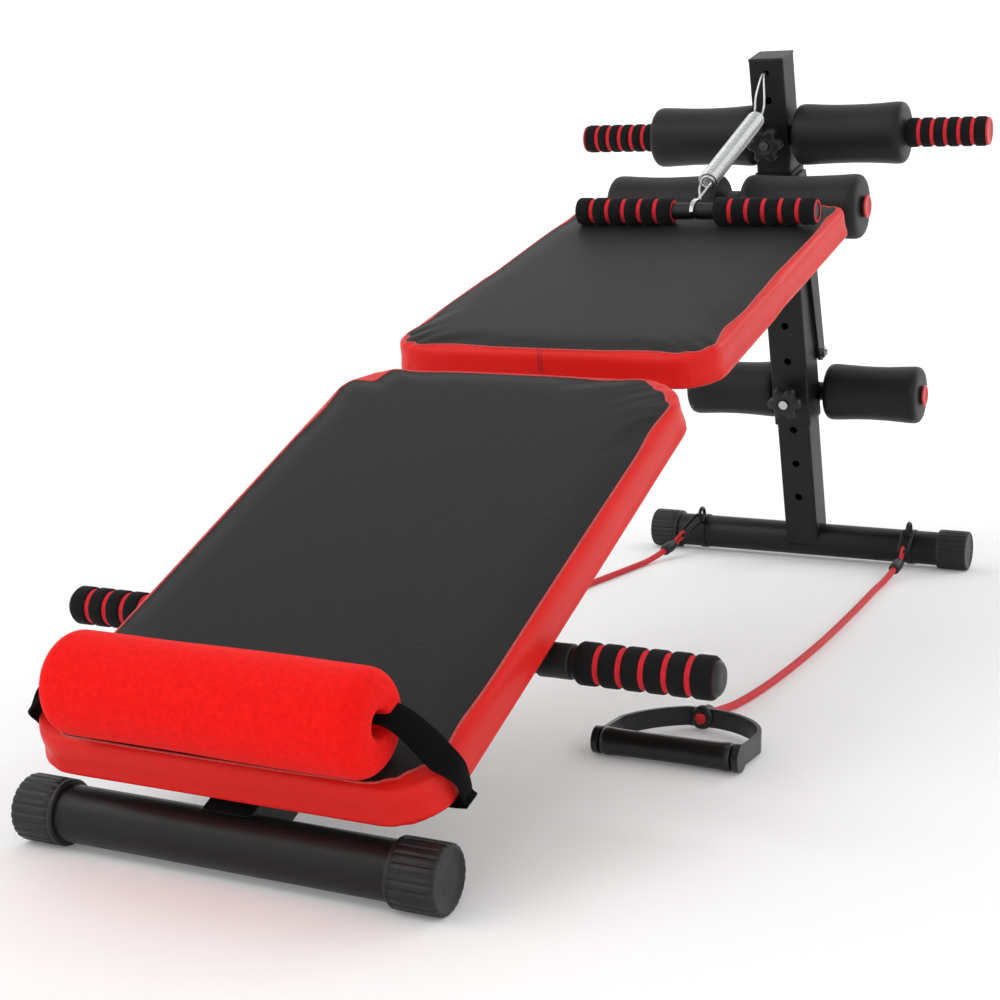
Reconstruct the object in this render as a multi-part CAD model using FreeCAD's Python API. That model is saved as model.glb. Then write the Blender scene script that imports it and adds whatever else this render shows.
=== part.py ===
import FreeCAD, Part
import math
import os

# Decline sit up bench: a padded two-board bench on a bent beam, held at its
# high end by a sleeve that slides on a leaning post.
# Millimetres. +Z up, +Y along the bench from the head end to the post,
# +X to the right of a person lying on it. Z = 0 is the floor.

V = FreeCAD.Vector
X_AXIS = V(1, 0, 0)
Z_AXIS = V(0, 0, 1)

# ---- driving dimensions -------------------------------------------------
REAR_Y = 719.0            # rear foot axis, so that the bench is centred on Y = 0
FOOT_SPAN = 1398.5        # distance between the two feet
FOOT_R = 22.5             # 45 mm round tube
FOOT_CAP_R = 26.5
FOOT_CAP_L = 40.0
FOOT_WALL = 2.0
FRONT_FOOT_HALF = 188.0
REAR_FOOT_HALF = 226.0
FOOT_Z = FOOT_CAP_R

POST_LEAN = 16.5          # degrees, the post's top leans over the boards
POST_W = 45.0             # square tube of the post, the mast and the beam
TUBE_WALL = 2.0
SLEEVE_W = 50.0
HOLE_PITCH = 50.0
HOLE_FIRST = 74.0         # lowest adjusting hole, along the post from the foot axis
HOLE_R = 5.0
POST_TOP = 288.0
SLEEVE_BOTTOM = 182.0
SLEEVE_TOP = 530.0
MAST_BOTTOM = 442.0
MAST_TOP = 677.0
HEIGHT_TRAVEL = 150.0     # three holes

PIVOT_BACK = 31.5         # fold pivot, behind the post axis
PIVOT_S = 268.0
PIVOT_R = 4.0
LOCK_S = 505.0            # fold lock bolt
LOCK_R = 5.0
EAR_GAP = 26.0            # inner face of each ear, from the middle
EAR_T = 4.0
WEB_FRONT = 31.0          # front face of the fold bracket's web
WEB_BACK = 27.0
FOLD_MAX = 80.0

BEAM_BEND = 514.5         # bend of the beam, from the front foot along Y
LOWER_SLOPE = 25.5
UPPER_SLOPE = 16.6
BEAM_END_S = 456.0

BAR_R = 12.5              # 25 mm round bars
ROLLER_R = 38.0
ROLLER_WAIST_R = 36.0
ROLLER_GAP = 0.08         # running clearance of the foam's liner on its bar
HOLD_BAR_S = 574.0
HOLD_BAR_HALF = 265.0
HOLD_SHIFT = 3.0          # the hold bar sits a little to the right in the mast
HOLD_ROLLER = (26.5, 165.0)
FOOT_BAR_S = 208.0
FOOT_BAR_BACK = 37.6
FOOT_ROLLER = (33.5, 161.0)
KNEE_BAR_Y = -311.0       # from the rear foot
KNEE_BAR_Z = 487.5
KNEE_ROLLER = (14.5, 158.0)
KNEE_BAR_HALF = 162.0

LOWER_NEAR = (-1430.5, 93.4)   # near top edge, from the rear foot, and height
LOWER_LEN = 581.0
LOWER_W = (376.0, 370.0)       # near and far widths
LOWER_CORNERS = (50.0, 56.0)   # near and far corner radii
UPPER_NEAR = (-868.0, 354.6)
UPPER_LEN = 496.0
UPPER_W = (362.0, 342.0)
UPPER_CORNERS = (44.0, 24.0)
PAD_T = 40.0              # the cover wraps the whole edge
BOARD_T = 9.0             # plywood let into the pad's underside
BOARD_INSET = 14.0

GRIP_BAR_Y = -1187.0      # push-up bar, from the rear foot
GRIP_BAR_RAISE = 9.0      # above the beam's middle line
GRIP_BAR_HALF = 311.0
GRIP_INNER = 192.0
GRIP_R = 17.5

PILLOW_R = 40.0
PILLOW_HALF = 138.5
PILLOW_X = 11.5           # pulled a little to the right
PILLOW_D = 26.0           # pillow axis up the slope from the board's near edge
PILLOW_TRAVEL = 120.0
STRAP_W = 26.0
STRAP_T = 2.0
STRAP_D = 39.0            # middle of the strap up the slope

HAND_BAR_Y = -486.0
HAND_BAR_X = 16.0
HAND_BAR_HALF = 142.0
HAND_BAR_R = 9.5
HAND_GRIP_R = 15.5
HAND_BARE = 50.0
HAND_TRAVEL = 200.0
SPRING_R = 11.0
HOOK_S = 659.0            # spring hole in the mast

CLAMP_X = 149.0           # cord clamps on the rear foot
CLAMP_W = 8.0
CLAMP_R = 23.8
EYE_R = 9.0
EYE_WIRE = 2.4
CORD_R = 4.0
HANDLE_GRIP_R = 12.8
HANDLE_HALF = 62.0
BOSS = (180.0, -880.0, 13.0)   # where a cord enters its handle, from the rear foot
GRIP_BACK = 112.0              # handle grip axis beyond the boss
KNEE_BACK = 52.0               # end of a bail's straight sides beyond the grip axis
RUN_FIT = 0.08

RIGHT_ROUTE = [(150.5, -100.0, 12.5), (149.0, -132.0, 4.6), (151.5, -188.0, 4.0),
               (160.0, -274.0, 4.0), (168.5, -374.0, 4.0), (177.0, -480.0, 4.0),
               (182.5, -584.0, 4.0), (185.5, -682.0, 4.0), (184.5, -762.0, 4.0),
               (181.0, -818.0, 5.5), (180.0, -865.0, 13.0)]
LEFT_ROUTE = [(-173.0, -104.0, 12.5), (-179.0, -136.0, 4.6), (-183.0, -192.0, 4.0),
              (-187.5, -278.0, 4.0), (-193.5, -376.0, 4.0), (-195.5, -480.0, 4.0),
              (-192.0, -584.0, 4.0), (-187.0, -682.0, 4.0), (-184.0, -762.0, 4.0),
              (-181.0, -818.0, 5.5), (-180.0, -865.0, 13.0)]


# ---- frames -------------------------------------------------------------
def rad(degrees):
    return math.radians(degrees)


def world(x, y, z):
    """A point given from the rear foot, in the part's own frame."""
    return V(x, y + REAR_Y, z)


def tilted(shape, origin, degrees):
    """A shape drawn level, turned up about X and set at an origin."""
    out = shape.copy()
    out.Placement = FreeCAD.Placement(origin, FreeCAD.Rotation(X_AXIS, degrees))
    return out


def on_post(shape):
    """Post frame: x across, y to the rear, z up along the post."""
    return tilted(shape, world(0, 0, FOOT_Z), POST_LEAN)


def post_point(x, back, s):
    c = math.cos(rad(POST_LEAN))
    k = math.sin(rad(POST_LEAN))
    return world(x, back * c - s * k, FOOT_Z + back * k + s * c)


def on_lower(shape):
    """Lower board frame: x across, y up the slope, z out of the top."""
    return tilted(shape, world(0, *LOWER_NEAR), LOWER_SLOPE)


def on_upper(shape):
    return tilted(shape, world(0, *UPPER_NEAR), UPPER_SLOPE)


def upper_point(x, along, out):
    c = math.cos(rad(UPPER_SLOPE))
    k = math.sin(rad(UPPER_SLOPE))
    return world(x, UPPER_NEAR[0] + along * c - out * k, UPPER_NEAR[1] + along * k + out * c)


# ---- plain solids -------------------------------------------------------
def cyl(radius, length, base, axis):
    return Part.makeCylinder(radius, length, base, axis)


def cyl_x(radius, x0, x1, y, z):
    return Part.makeCylinder(radius, x1 - x0, V(x0, y, z), X_AXIS)


def box(x0, x1, y0, y1, z0, z1):
    return Part.makeBox(x1 - x0, y1 - y0, z1 - z0, V(x0, y0, z0))


def square_tube(width, wall, z0, z1):
    h = width / 2
    outer = box(-h, h, -h, h, z0, z1)
    edges = [e for e in outer.Edges if abs(e.Vertexes[0].Z - e.Vertexes[1].Z) > 1]
    outer = outer.makeFillet(wall * 1.5, edges)
    return outer.cut(box(wall - h, h - wall, wall - h, h - wall, z0 - 1, z1 + 1))


def rod(points, radius):
    """A round rod through points, with a ball at each corner."""
    out = None
    for a, b in zip(points, points[1:]):
        run = cyl(radius, (b - a).Length, a, b - a)
        out = run if out is None else out.fuse(run)
    for p in points[1:-1]:
        out = out.fuse(Part.makeSphere(radius, p))
    return out.removeSplitter()


def revolve_x(profile, y, z):
    """Turn (x, r) points about the X axis line at y, z."""
    pts = [V(px, y, z + pr) for px, pr in profile]
    face = Part.Face(Part.makePolygon(pts + [pts[0]]))
    return face.revolve(V(0, y, z), X_AXIS, 360)


def mirror_x(shape):
    return shape.mirror(V(0, 0, 0), X_AXIS)


def both(shape):
    return Part.makeCompound([shape, mirror_x(shape)])


def one(shapes):
    out = shapes[0]
    for s in shapes[1:]:
        out = out.fuse(s)
    return out.removeSplitter()


PARTS = {}


def add(name, shape):
    PARTS[name] = shape


# ---- feet ---------------------------------------------------------------
def foot_tube(half, y):
    outer = cyl_x(FOOT_R, -half + 3, half - 3, y, FOOT_Z)
    return outer.cut(cyl_x(FOOT_R - FOOT_WALL, -half, half, y, FOOT_Z))


def foot_cap(half, y):
    """Ribbed plastic cup over the end of a foot tube."""
    body = cyl_x(FOOT_CAP_R, half - FOOT_CAP_L, half, y, FOOT_Z)
    body = body.cut(cyl_x(FOOT_R, half - FOOT_CAP_L - 1, half - 3, y, FOOT_Z))
    ribs = 20
    for i in range(ribs):
        a = 2 * math.pi * (i + 0.5) / ribs
        reach = FOOT_CAP_R + 0.3
        p = V(half - FOOT_CAP_L + 4, y + math.cos(a) * reach, FOOT_Z + math.sin(a) * reach)
        body = body.cut(cyl(1.0, FOOT_CAP_L - 8, p, X_AXIS))
    return body


def add_feet():
    front_y = REAR_Y - FOOT_SPAN
    add("front_foot", foot_tube(FRONT_FOOT_HALF, front_y))
    add("front_foot_caps", both(foot_cap(FRONT_FOOT_HALF, front_y)))
    add("rear_foot", foot_tube(REAR_FOOT_HALF, REAR_Y))
    add("rear_foot_caps", both(foot_cap(REAR_FOOT_HALF, REAR_Y)))


# ---- post, sleeve and mast ---------------------------------------------
def front_holes(shape, first, count, depth0, depth1, radius=HOLE_R):
    """Holes through a front wall, one pitch apart."""
    for i in range(count):
        shape = shape.cut(cyl(radius, depth1 - depth0, V(0, depth0, first + i * HOLE_PITCH), V(0, 1, 0)))
    return shape


def add_post():
    half = POST_W / 2
    post = square_tube(POST_W, TUBE_WALL, 0, POST_TOP)
    post = front_holes(post, HOLE_FIRST, 5, -half - 1, -half + TUBE_WALL + 1)
    post = on_post(post).cut(cyl_x(FOOT_R, -60, 60, REAR_Y, FOOT_Z))
    low = box(-60, 60, REAR_Y - 60, REAR_Y + 60, -20, FOOT_Z - 6)
    add("post", post.cut(low))

    sleeve = square_tube(SLEEVE_W, TUBE_WALL, SLEEVE_BOTTOM, SLEEVE_TOP)
    back = SLEEVE_W / 2
    sleeve = front_holes(sleeve, HOLE_FIRST + 3 * HOLE_PITCH, 4, -back - 1, -back + TUBE_WALL + 1)
    sleeve = sleeve.cut(cyl_x(LOCK_R, -60, 60, 0, LOCK_S))
    barrel = cyl_x(7.0, -EAR_GAP + 0.5, EAR_GAP - 0.5, PIVOT_BACK, PIVOT_S)
    barrel = barrel.fuse(box(-EAR_GAP + 0.5, EAR_GAP - 0.5, back - 0.5, PIVOT_BACK, PIVOT_S - 7, PIVOT_S + 7))
    sleeve = sleeve.fuse(barrel)
    sleeve = sleeve.cut(cyl_x(PIVOT_R + RUN_FIT, -60, 60, PIVOT_BACK, PIVOT_S))
    sleeve = sleeve.cut(box(-21.5, 21.5, -21.5, 23.0, SLEEVE_BOTTOM, SLEEVE_TOP))
    sleeve = on_post(sleeve.fuse(weld_boss(-back, HOLE_FIRST + 3 * HOLE_PITCH)))
    add("sleeve", sleeve.removeSplitter())

    mast = square_tube(POST_W, TUBE_WALL, MAST_BOTTOM, MAST_TOP - 3)
    mast = mast.cut(cyl_x(LOCK_R, -60, 60, 0, LOCK_S))
    mast = mast.cut(cyl_x(BAR_R, -60, 60, 0, HOLD_BAR_S))
    mast = front_holes(mast, HOLD_BAR_S + HOLE_PITCH, 1, -half - 1, half + 1)
    mast = front_holes(mast, HOOK_S, 1, -half - 1, -half + TUBE_WALL + 1, 3.2)
    mast = mast.cut(cyl(HOLE_R, 10, V(0, -half - 1, HOLD_BAR_S), V(0, 1, 0)))
    mast = mast.fuse(weld_boss(-half, HOLD_BAR_S)).removeSplitter()
    add("mast", on_post(mast))

    cap = box(-half, half, -half, half, MAST_TOP - 3, MAST_TOP)
    cap = cap.makeFillet(1.4, [e for e in cap.Edges if e.CenterOfMass.z > MAST_TOP - 0.1])
    plug = half - TUBE_WALL - 0.2
    cap = cap.fuse(box(-plug, plug, -plug, plug, MAST_TOP - 14, MAST_TOP - 3))
    cap = cap.cut(box(-plug + 2, plug - 2, -plug + 2, plug - 2, MAST_TOP - 15, MAST_TOP - 4))
    add("mast_cap", on_post(cap))


# ---- fold bracket -------------------------------------------------------
def ear_outline():
    pts = [(-WEB_FRONT, 405), (-WEB_FRONT, 525), (16, 525), (28, 470), (PIVOT_BACK + 11.5, PIVOT_S),
           (PIVOT_BACK - 11.5, PIVOT_S), (4, 395), (-10, 405)]
    wire = Part.makePolygon([V(EAR_GAP, y, z) for y, z in pts + [pts[0]]])
    ear = Part.Face(wire).extrude(V(EAR_T, 0, 0))
    ear = ear.fuse(cyl_x(11.5, EAR_GAP, EAR_GAP + EAR_T, PIVOT_BACK, PIVOT_S))
    ear = ear.cut(cyl_x(PIVOT_R, 0, 60, PIVOT_BACK, PIVOT_S))
    notch = [(0, LOCK_S - 5.5), (30, LOCK_S - 5.5), (30, LOCK_S + 12), (0, LOCK_S + 5.5)]
    notch = Part.makePolygon([V(0, y, z) for y, z in notch + [notch[0]]])
    ear = ear.cut(Part.Face(notch).extrude(V(60, 0, 0)))
    return ear.cut(cyl_x(LOCK_R + 0.5, 0, 60, 0, LOCK_S)).removeSplitter()


def add_fold():
    ear = ear_outline()
    web = box(-EAR_GAP - EAR_T, EAR_GAP + EAR_T, -WEB_FRONT, -WEB_BACK, 405, 525)
    add("fold_bracket", on_post(one([web, ear, mirror_x(ear)])))
    outer = EAR_GAP + EAR_T
    shank = cyl_x(PIVOT_R, -outer - 0.5, outer + 7.5, PIVOT_BACK, PIVOT_S)
    head = hexagon(6.5, -outer - 5, -outer, PIVOT_BACK, PIVOT_S)
    nut = hexagon(6.5, outer, outer + 5.0, PIVOT_BACK, PIVOT_S)
    add("pivot_bolt", on_post(one([shank, head, nut])))


def hexagon(radius, x0, x1, y, z):
    pts = []
    corner = radius / math.cos(math.pi / 6)
    for i in range(6):
        a = math.pi * i / 3
        pts.append(V(x0, y + corner * math.cos(a), z + corner * math.sin(a)))
    return Part.Face(Part.makePolygon(pts + [pts[0]])).extrude(V(x1 - x0, 0, 0))


def add_lock():
    """Bolt through sleeve and mast that the ears' notches close on."""
    outer = EAR_GAP + EAR_T
    bolt = cyl_x(LOCK_R, -outer - 8, outer + 2, 0, LOCK_S)
    nut = hexagon(8.0, -outer - 7, -outer - 0.5, 0, LOCK_S)
    add("lock_bolt", on_post(bolt.fuse(nut).removeSplitter()))
    knob = knob_x(11.0, outer + 0.6, 15.0, 0, LOCK_S, 6)
    knob = knob.cut(cyl_x(LOCK_R + RUN_FIT, 0, outer + 2.5, 0, LOCK_S))
    add("lock_knob", on_post(knob))


def knob_x(radius, x0, depth, y, z, lobes):
    knob = cyl_x(radius, x0, x0 + depth, y, z)
    for i in range(lobes):
        a = 2 * math.pi * i / lobes
        reach = radius * 1.16
        cy = y + reach * math.cos(a)
        cz = z + reach * math.sin(a)
        knob = knob.cut(cyl_x(radius * 0.34, x0 - 1, x0 + depth + 1, cy, cz))
    return knob


# ---- star knobs on the front face --------------------------------------
def star_knob(back_face, s, tip):
    """Star knob on a steel screw; its stem runs to the rear as far as tip."""
    radius = 23.0
    y1 = back_face
    head = cyl(radius, 15.0, V(0, y1 - 25.0, s), V(0, 1, 0))
    head = head.fuse(Part.makeCone(9.0, 17.0, 10.0, V(0, y1, s), V(0, -1, 0)))
    lobes = 6
    for i in range(lobes):
        a = 2 * math.pi * (i + 0.5) / lobes
        c = V(radius * 1.12 * math.cos(a), y1 - 26.0, s + radius * 1.12 * math.sin(a))
        head = head.cut(cyl(6.6, 27.0, c, V(0, 1, 0)))
    screw = cyl(4.0, tip - (y1 - 23.0), V(0, y1 - 23.0, s), V(0, 1, 0))
    head = head.cut(cyl(8.0, 3.0, V(0, y1 - 26.0, s), V(0, 1, 0)))
    head = head.cut(cyl(4.0, 40.0, V(0, y1 - 23.0, s), V(0, 1, 0)))
    end = cyl(6.0, 2.0, V(0, y1 - 25.0, s), V(0, 1, 0))
    return head.removeSplitter(), screw.fuse(end).removeSplitter()


def weld_boss(face, s):
    boss = cyl(8.0, 6.0, V(0, face - 6.0, s), V(0, 1, 0))
    return boss.cut(cyl(4.0 + RUN_FIT, 20, V(0, face - 10.0, s), V(0, 1, 0)))


def add_knobs():
    sleeve_face = -SLEEVE_W / 2
    height_s = HOLE_FIRST + 3 * HOLE_PITCH
    tip = -POST_W / 2 - 0.4
    head, screw = star_knob(sleeve_face - 6.4, height_s, tip)
    add("height_knob", on_post(head))
    add("height_screw", on_post(screw))
    mast_face = -POST_W / 2
    head, screw = star_knob(mast_face - 6.4, HOLD_BAR_S, -BAR_R - 0.4)
    add("bar_knob", on_post(head))
    add("bar_screw", on_post(screw))


# ---- bars, grips and rollers -------------------------------------------
def roller(x0, x1, y, z):
    """Foam roller with flared ends on a thin liner."""
    length = x1 - x0
    bore = BAR_R + ROLLER_GAP
    near = [(0, bore), (0, ROLLER_R - 8), (2.5, ROLLER_R - 2.5), (8, ROLLER_R),
            (22, ROLLER_R - 0.5), (length / 3, ROLLER_WAIST_R)]
    profile = [(x0 + a, b) for a, b in near] + [(x1 - a, b) for a, b in reversed(near)]
    return revolve_x(profile, y, z)


def bar_tube(half, y, z, radius=BAR_R, wall=1.8):
    return cyl_x(radius, -half, half, y, z).cut(cyl_x(radius - wall, -half - 1, half + 1, y, z))


def end_plug(half, y, z, radius=BAR_R, flange=1.4):
    """Red plug pressed into the end of a bar."""
    plug = cyl_x(radius - 1.8, half - 12, half, y, z)
    return plug.fuse(cyl_x(radius + flange, half, half + 2.5, y, z))


def grip(x0, x1, y, z, inner, radius, grooves):
    """Moulded foam grip with sunk rings."""
    body = cyl_x(radius, x0, x1, y, z)
    body = body.makeFillet(2.5, [e for e in body.Edges if e.Closed])
    body = body.cut(cyl_x(inner, x0 - 1, x1 + 1, y, z))
    step = (x1 - x0) / (grooves + 1)
    for i in range(grooves):
        x = x0 + step * (i + 1)
        ring = cyl_x(radius + 1, x - 2, x + 2, y, z).cut(cyl_x(radius - 2, x - 3, x + 3, y, z))
        body = body.cut(ring)
    return body


def shifted(shape):
    """A piece of the hold bar, moved across and set on the mast."""
    return tilted(shape, world(HOLD_SHIFT, 0, FOOT_Z), POST_LEAN)


def add_hold_bar():
    """Upper bar through the mast, with two rollers and two grips."""
    add("hold_bar", shifted(bar_tube(HOLD_BAR_HALF, 0, HOLD_BAR_S)))
    add("hold_bar_plugs", shifted(both(end_plug(HOLD_BAR_HALF, 0, HOLD_BAR_S, BAR_R, 4.5))))
    g = grip(HOLD_ROLLER[1] + 2, HOLD_BAR_HALF, 0, HOLD_BAR_S, BAR_R, GRIP_R + 0.5, 5)
    add("hold_grips", shifted(both(g)))
    r = roller(*HOLD_ROLLER, 0, HOLD_BAR_S)
    add("hold_roller_right", shifted(r))
    add("hold_roller_left", shifted(mirror_x(r)))


def add_foot_bar():
    """Ankle bar welded across the back of the sleeve."""
    half = FOOT_ROLLER[1] + 3
    tube = bar_tube(half, FOOT_BAR_BACK, FOOT_BAR_S)
    saddle = box(-21, 21, SLEEVE_W / 2, FOOT_BAR_BACK, FOOT_BAR_S - 14, FOOT_BAR_S + 14)
    saddle = saddle.cut(cyl_x(BAR_R, -60, 60, FOOT_BAR_BACK, FOOT_BAR_S))
    add("foot_bar", on_post(tube.fuse(saddle).removeSplitter()))
    add("foot_bar_plugs", on_post(both(end_plug(half, FOOT_BAR_BACK, FOOT_BAR_S))))
    r = roller(*FOOT_ROLLER, FOOT_BAR_BACK, FOOT_BAR_S)
    add("foot_roller_right", on_post(r))
    add("foot_roller_left", on_post(mirror_x(r)))


def add_knee_bar():
    """Knee rollers on a bar that a narrow upright carries above the beam."""
    y = REAR_Y + KNEE_BAR_Y
    upright = box(-8, 8, y - 19, y + 19, beam_z(KNEE_BAR_Y) + 22, KNEE_BAR_Z + 3)
    upright = upright.fuse(cyl_x(19, -8, 8, y, KNEE_BAR_Z))
    upright = upright.cut(cyl_x(BAR_R, -60, 60, y, KNEE_BAR_Z))
    beam_solid = beam_prism(POST_W / 2)
    add("knee_upright", upright.cut(beam_solid).removeSplitter())
    add("knee_bar", bar_tube(KNEE_BAR_HALF, y, KNEE_BAR_Z))
    add("knee_bar_plugs", both(end_plug(KNEE_BAR_HALF, y, KNEE_BAR_Z)))
    r = roller(*KNEE_ROLLER, y, KNEE_BAR_Z)
    add("knee_roller_right", r)
    add("knee_roller_left", mirror_x(r))


def add_push_bar():
    """Push-up bar through the beam under the lower board."""
    y = REAR_Y + GRIP_BAR_Y
    z = beam_z(GRIP_BAR_Y) + GRIP_BAR_RAISE
    add("push_bar", bar_tube(GRIP_BAR_HALF - 2, y, z))
    add("push_grips", both(grip(GRIP_INNER, GRIP_BAR_HALF - 4, y, z, BAR_R, GRIP_R, 5)))
    collar = cyl_x(14.5, GRIP_INNER - 34, GRIP_INNER - 5, y, z).cut(cyl_x(BAR_R, 0, 400, y, z))
    add("push_collars", both(collar))
    add("push_bar_plugs", both(end_plug(GRIP_BAR_HALF - 2, y, z, BAR_R, 3.6)))


# ---- beam ---------------------------------------------------------------
def beam_line():
    """Middle line of the beam in the YZ plane."""
    front = V(0, REAR_Y - FOOT_SPAN, FOOT_Z)
    bend = front + V(0, BEAM_BEND, BEAM_BEND * math.tan(rad(LOWER_SLOPE)))
    end = post_point(0, -WEB_FRONT, BEAM_END_S)
    return front, bend, end


def beam_z(y_from_rear):
    front, bend, end = beam_line()
    y = y_from_rear + REAR_Y
    a, b = (front, bend) if y < bend.y else (bend, end)
    return a.z + (b.z - a.z) * (y - a.y) / (b.y - a.y)


def beam_prism(half):
    """The beam as a solid of square section, mitred at its bend."""
    front, bend, end = beam_line()
    d1 = (bend - front).normalize()
    d2 = (end - bend).normalize()
    up1 = V(0, -d1.z, d1.y)
    up2 = V(0, -d2.z, d2.y)
    mid = (up1 + up2).normalize()
    mitre = mid * (half / mid.dot(up1))
    post_up = V(0, -math.sin(rad(POST_LEAN)), math.cos(rad(POST_LEAN)))
    cut_end = post_up * (half / up2.dot(post_up))
    start = front + d1 * 6
    pts = [start - up1 * half, start + up1 * half, bend + mitre, end + cut_end, end - cut_end, bend - mitre]
    face = Part.Face(Part.makePolygon([p - V(half, 0, 0) for p in pts + [pts[0]]]))
    return face.extrude(V(2 * half, 0, 0))


def add_beam():
    outer = beam_prism(POST_W / 2)
    long_edges = [e for e in outer.Edges if e.Length > 200 and abs(e.CenterOfMass.x) > 1]
    outer = outer.makeFillet(3.0, long_edges)
    beam = outer.cut(beam_prism(POST_W / 2 - TUBE_WALL))
    beam = beam.cut(cyl_x(FOOT_R, -60, 60, REAR_Y - FOOT_SPAN, FOOT_Z))
    bar_z = beam_z(GRIP_BAR_Y) + GRIP_BAR_RAISE
    beam = beam.cut(cyl_x(BAR_R, -60, 60, REAR_Y + GRIP_BAR_Y, bar_z))
    add("main_beam", beam)


# ---- boards -------------------------------------------------------------
def outline(length, widths, radii, inset=0.0):
    """Tapered board outline with round corners; radii are near and far."""
    w0 = widths[0] / 2 - inset
    w1 = widths[1] / 2 - inset
    near, far = radii
    top = length - inset
    corners = [(-w0, inset, near), (w0, inset, near), (w1, top, far), (-w1, top, far)]
    edges = []
    starts = []
    for i, (x, y, r) in enumerate(corners):
        r = max(r - inset, 4.0)
        px, py, _ = corners[i - 1]
        nx, ny, _ = corners[(i + 1) % 4]
        c = V(x, y, 0)
        a = (V(px, py, 0) - c).normalize()
        b = (V(nx, ny, 0) - c).normalize()
        half = math.acos(a.dot(b)) / 2
        reach = r / math.tan(half)
        centre = c + (a + b).normalize() * (r / math.sin(half))
        middle = centre + (c - centre).normalize() * r
        starts.append((c + a * reach, middle, c + b * reach))
    for i, (p, m, q) in enumerate(starts):
        edges.append(Part.Arc(p, m, q).toShape())
        edges.append(Part.LineSegment(q, starts[(i + 1) % 4][0]).toShape())
    return Part.Face(Part.Wire(edges))


def pad_solid(length, widths, radii):
    """Padded cover with a recess below for the plywood."""
    pad = outline(length, widths, radii).extrude(V(0, 0, -PAD_T))
    pad = pad.makeFillet(7.0, level_edges(pad, 0.0))
    pad = pad.makeFillet(4.0, level_edges(pad, -PAD_T))
    return pad.cut(base_solid(length, widths, radii))


def level_edges(shape, z):
    boxes = [(e, e.BoundBox) for e in shape.Edges]
    return [e for e, b in boxes if abs(b.ZMin - z) < 0.01 and abs(b.ZMax - z) < 0.01]


def base_solid(length, widths, radii):
    face = outline(length, widths, radii, BOARD_INSET)
    face.translate(V(0, 0, -PAD_T))
    return face.extrude(V(0, 0, BOARD_T))


def bracket(length_y, along, board_bottom, beam_top):
    """Top hat strip between the beam and a board."""
    top = box(-70, 70, along - length_y / 2, along + length_y / 2, board_bottom - 3, board_bottom)
    legs = []
    for x in (-POST_W / 2 + 1, POST_W / 2 - 4):
        legs.append(box(x, x + 3, along - length_y / 2, along + length_y / 2, beam_top, board_bottom - 3))
    return one([top] + legs)


def bracket_screws(along, board_bottom):
    screws = []
    for x in (-56, 56):
        shank = cyl(3.0, 11.0, V(x, along, board_bottom - 4.5), Z_AXIS)
        head = cyl(6.0, 4.5, V(x, along, board_bottom - 7.5), Z_AXIS)
        screws.append(shank.fuse(head))
    return screws


def add_boards():
    bottom = -PAD_T
    beam = beam_prism(POST_W / 2)
    brackets = []
    screws = []
    for place, spots in ((on_lower, (210, 475)), (on_upper, (90, 400))):
        for along in spots:
            b = place(bracket(40, along, bottom, bottom - 60)).cut(beam)
            brackets.append(sorted(b.Solids, key=lambda s: -s.Volume)[0])
            screws += [place(s) for s in bracket_screws(along, bottom)]
    holes = Part.makeCompound(screws)
    lower = (LOWER_LEN, LOWER_W, LOWER_CORNERS)
    upper = (UPPER_LEN, UPPER_W, UPPER_CORNERS)
    add("lower_pad", on_lower(pad_solid(*lower)))
    add("lower_base", on_lower(base_solid(*lower)).cut(holes))
    add("upper_pad", on_upper(pad_solid(*upper)))
    add("upper_base", on_upper(base_solid(*upper)).cut(holes))
    add("board_brackets", Part.makeCompound(brackets).cut(holes))
    add("board_screws", holes)


# ---- pillow -------------------------------------------------------------
def add_pillow():
    axis_z = PILLOW_R + 0.6
    x0 = PILLOW_X - PILLOW_HALF
    x1 = PILLOW_X + PILLOW_HALF
    body = cyl_x(PILLOW_R, x0, x1, PILLOW_D, axis_z)
    body = body.makeFillet(14.0, [e for e in body.Edges if e.Closed])
    half = STRAP_W / 2 + 1
    tunnel = box(x0 - 1, x1 + 1, STRAP_D - half, STRAP_D + half, axis_z - 3, axis_z + 3)
    add("head_pillow", on_lower(body.cut(tunnel)))
    add("pillow_strap", on_lower(strap_band(axis_z)))


def strap_band(axis_z):
    """Elastic strap: through the pillow, down the board's sides and under it."""
    side = LOWER_W[0] / 2 + 2.5
    low = -PAD_T - 1.5 - STRAP_T / 2
    reach = PILLOW_HALF + 4
    pts = [(PILLOW_X - reach, axis_z), (PILLOW_X + reach, axis_z), (side, -4), (side, low + 1),
           (side - 4, low), (4 - side, low), (-side, low + 1), (-side, -4)]
    y0 = STRAP_D - STRAP_W / 2
    outer = offset_loop(pts, STRAP_T / 2)
    inner = offset_loop(pts, -STRAP_T / 2)
    ring = prism_y(outer, y0, STRAP_W).cut(prism_y(inner, y0 - 1, STRAP_W + 2))
    return ring


def offset_loop(pts, distance):
    """Offset a closed clockwise loop of (x, z) points outwards."""
    out = []
    n = len(pts)
    for i in range(n):
        p = V(pts[i][0], 0, pts[i][1])
        a = (p - V(pts[i - 1][0], 0, pts[i - 1][1])).normalize()
        b = (V(pts[(i + 1) % n][0], 0, pts[(i + 1) % n][1]) - p).normalize()
        na = V(-a.z, 0, a.x)
        nb = V(-b.z, 0, b.x)
        m = (na + nb).normalize()
        out.append(p + m * (distance / m.dot(na)))
    return out


def prism_y(points, y0, depth):
    pts = [V(p.x, y0, p.z) for p in points]
    return Part.Face(Part.makePolygon(pts + [pts[0]])).extrude(V(0, depth, 0))


# ---- pull spring and hand bar ------------------------------------------
def hand_bar_axis():
    """Middle of the hand bar where it rests on the upper pad."""
    along = (HAND_BAR_Y - UPPER_NEAR[0]) / math.cos(rad(UPPER_SLOPE))
    return upper_point(HAND_BAR_X, along, HAND_GRIP_R + 0.5)


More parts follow.
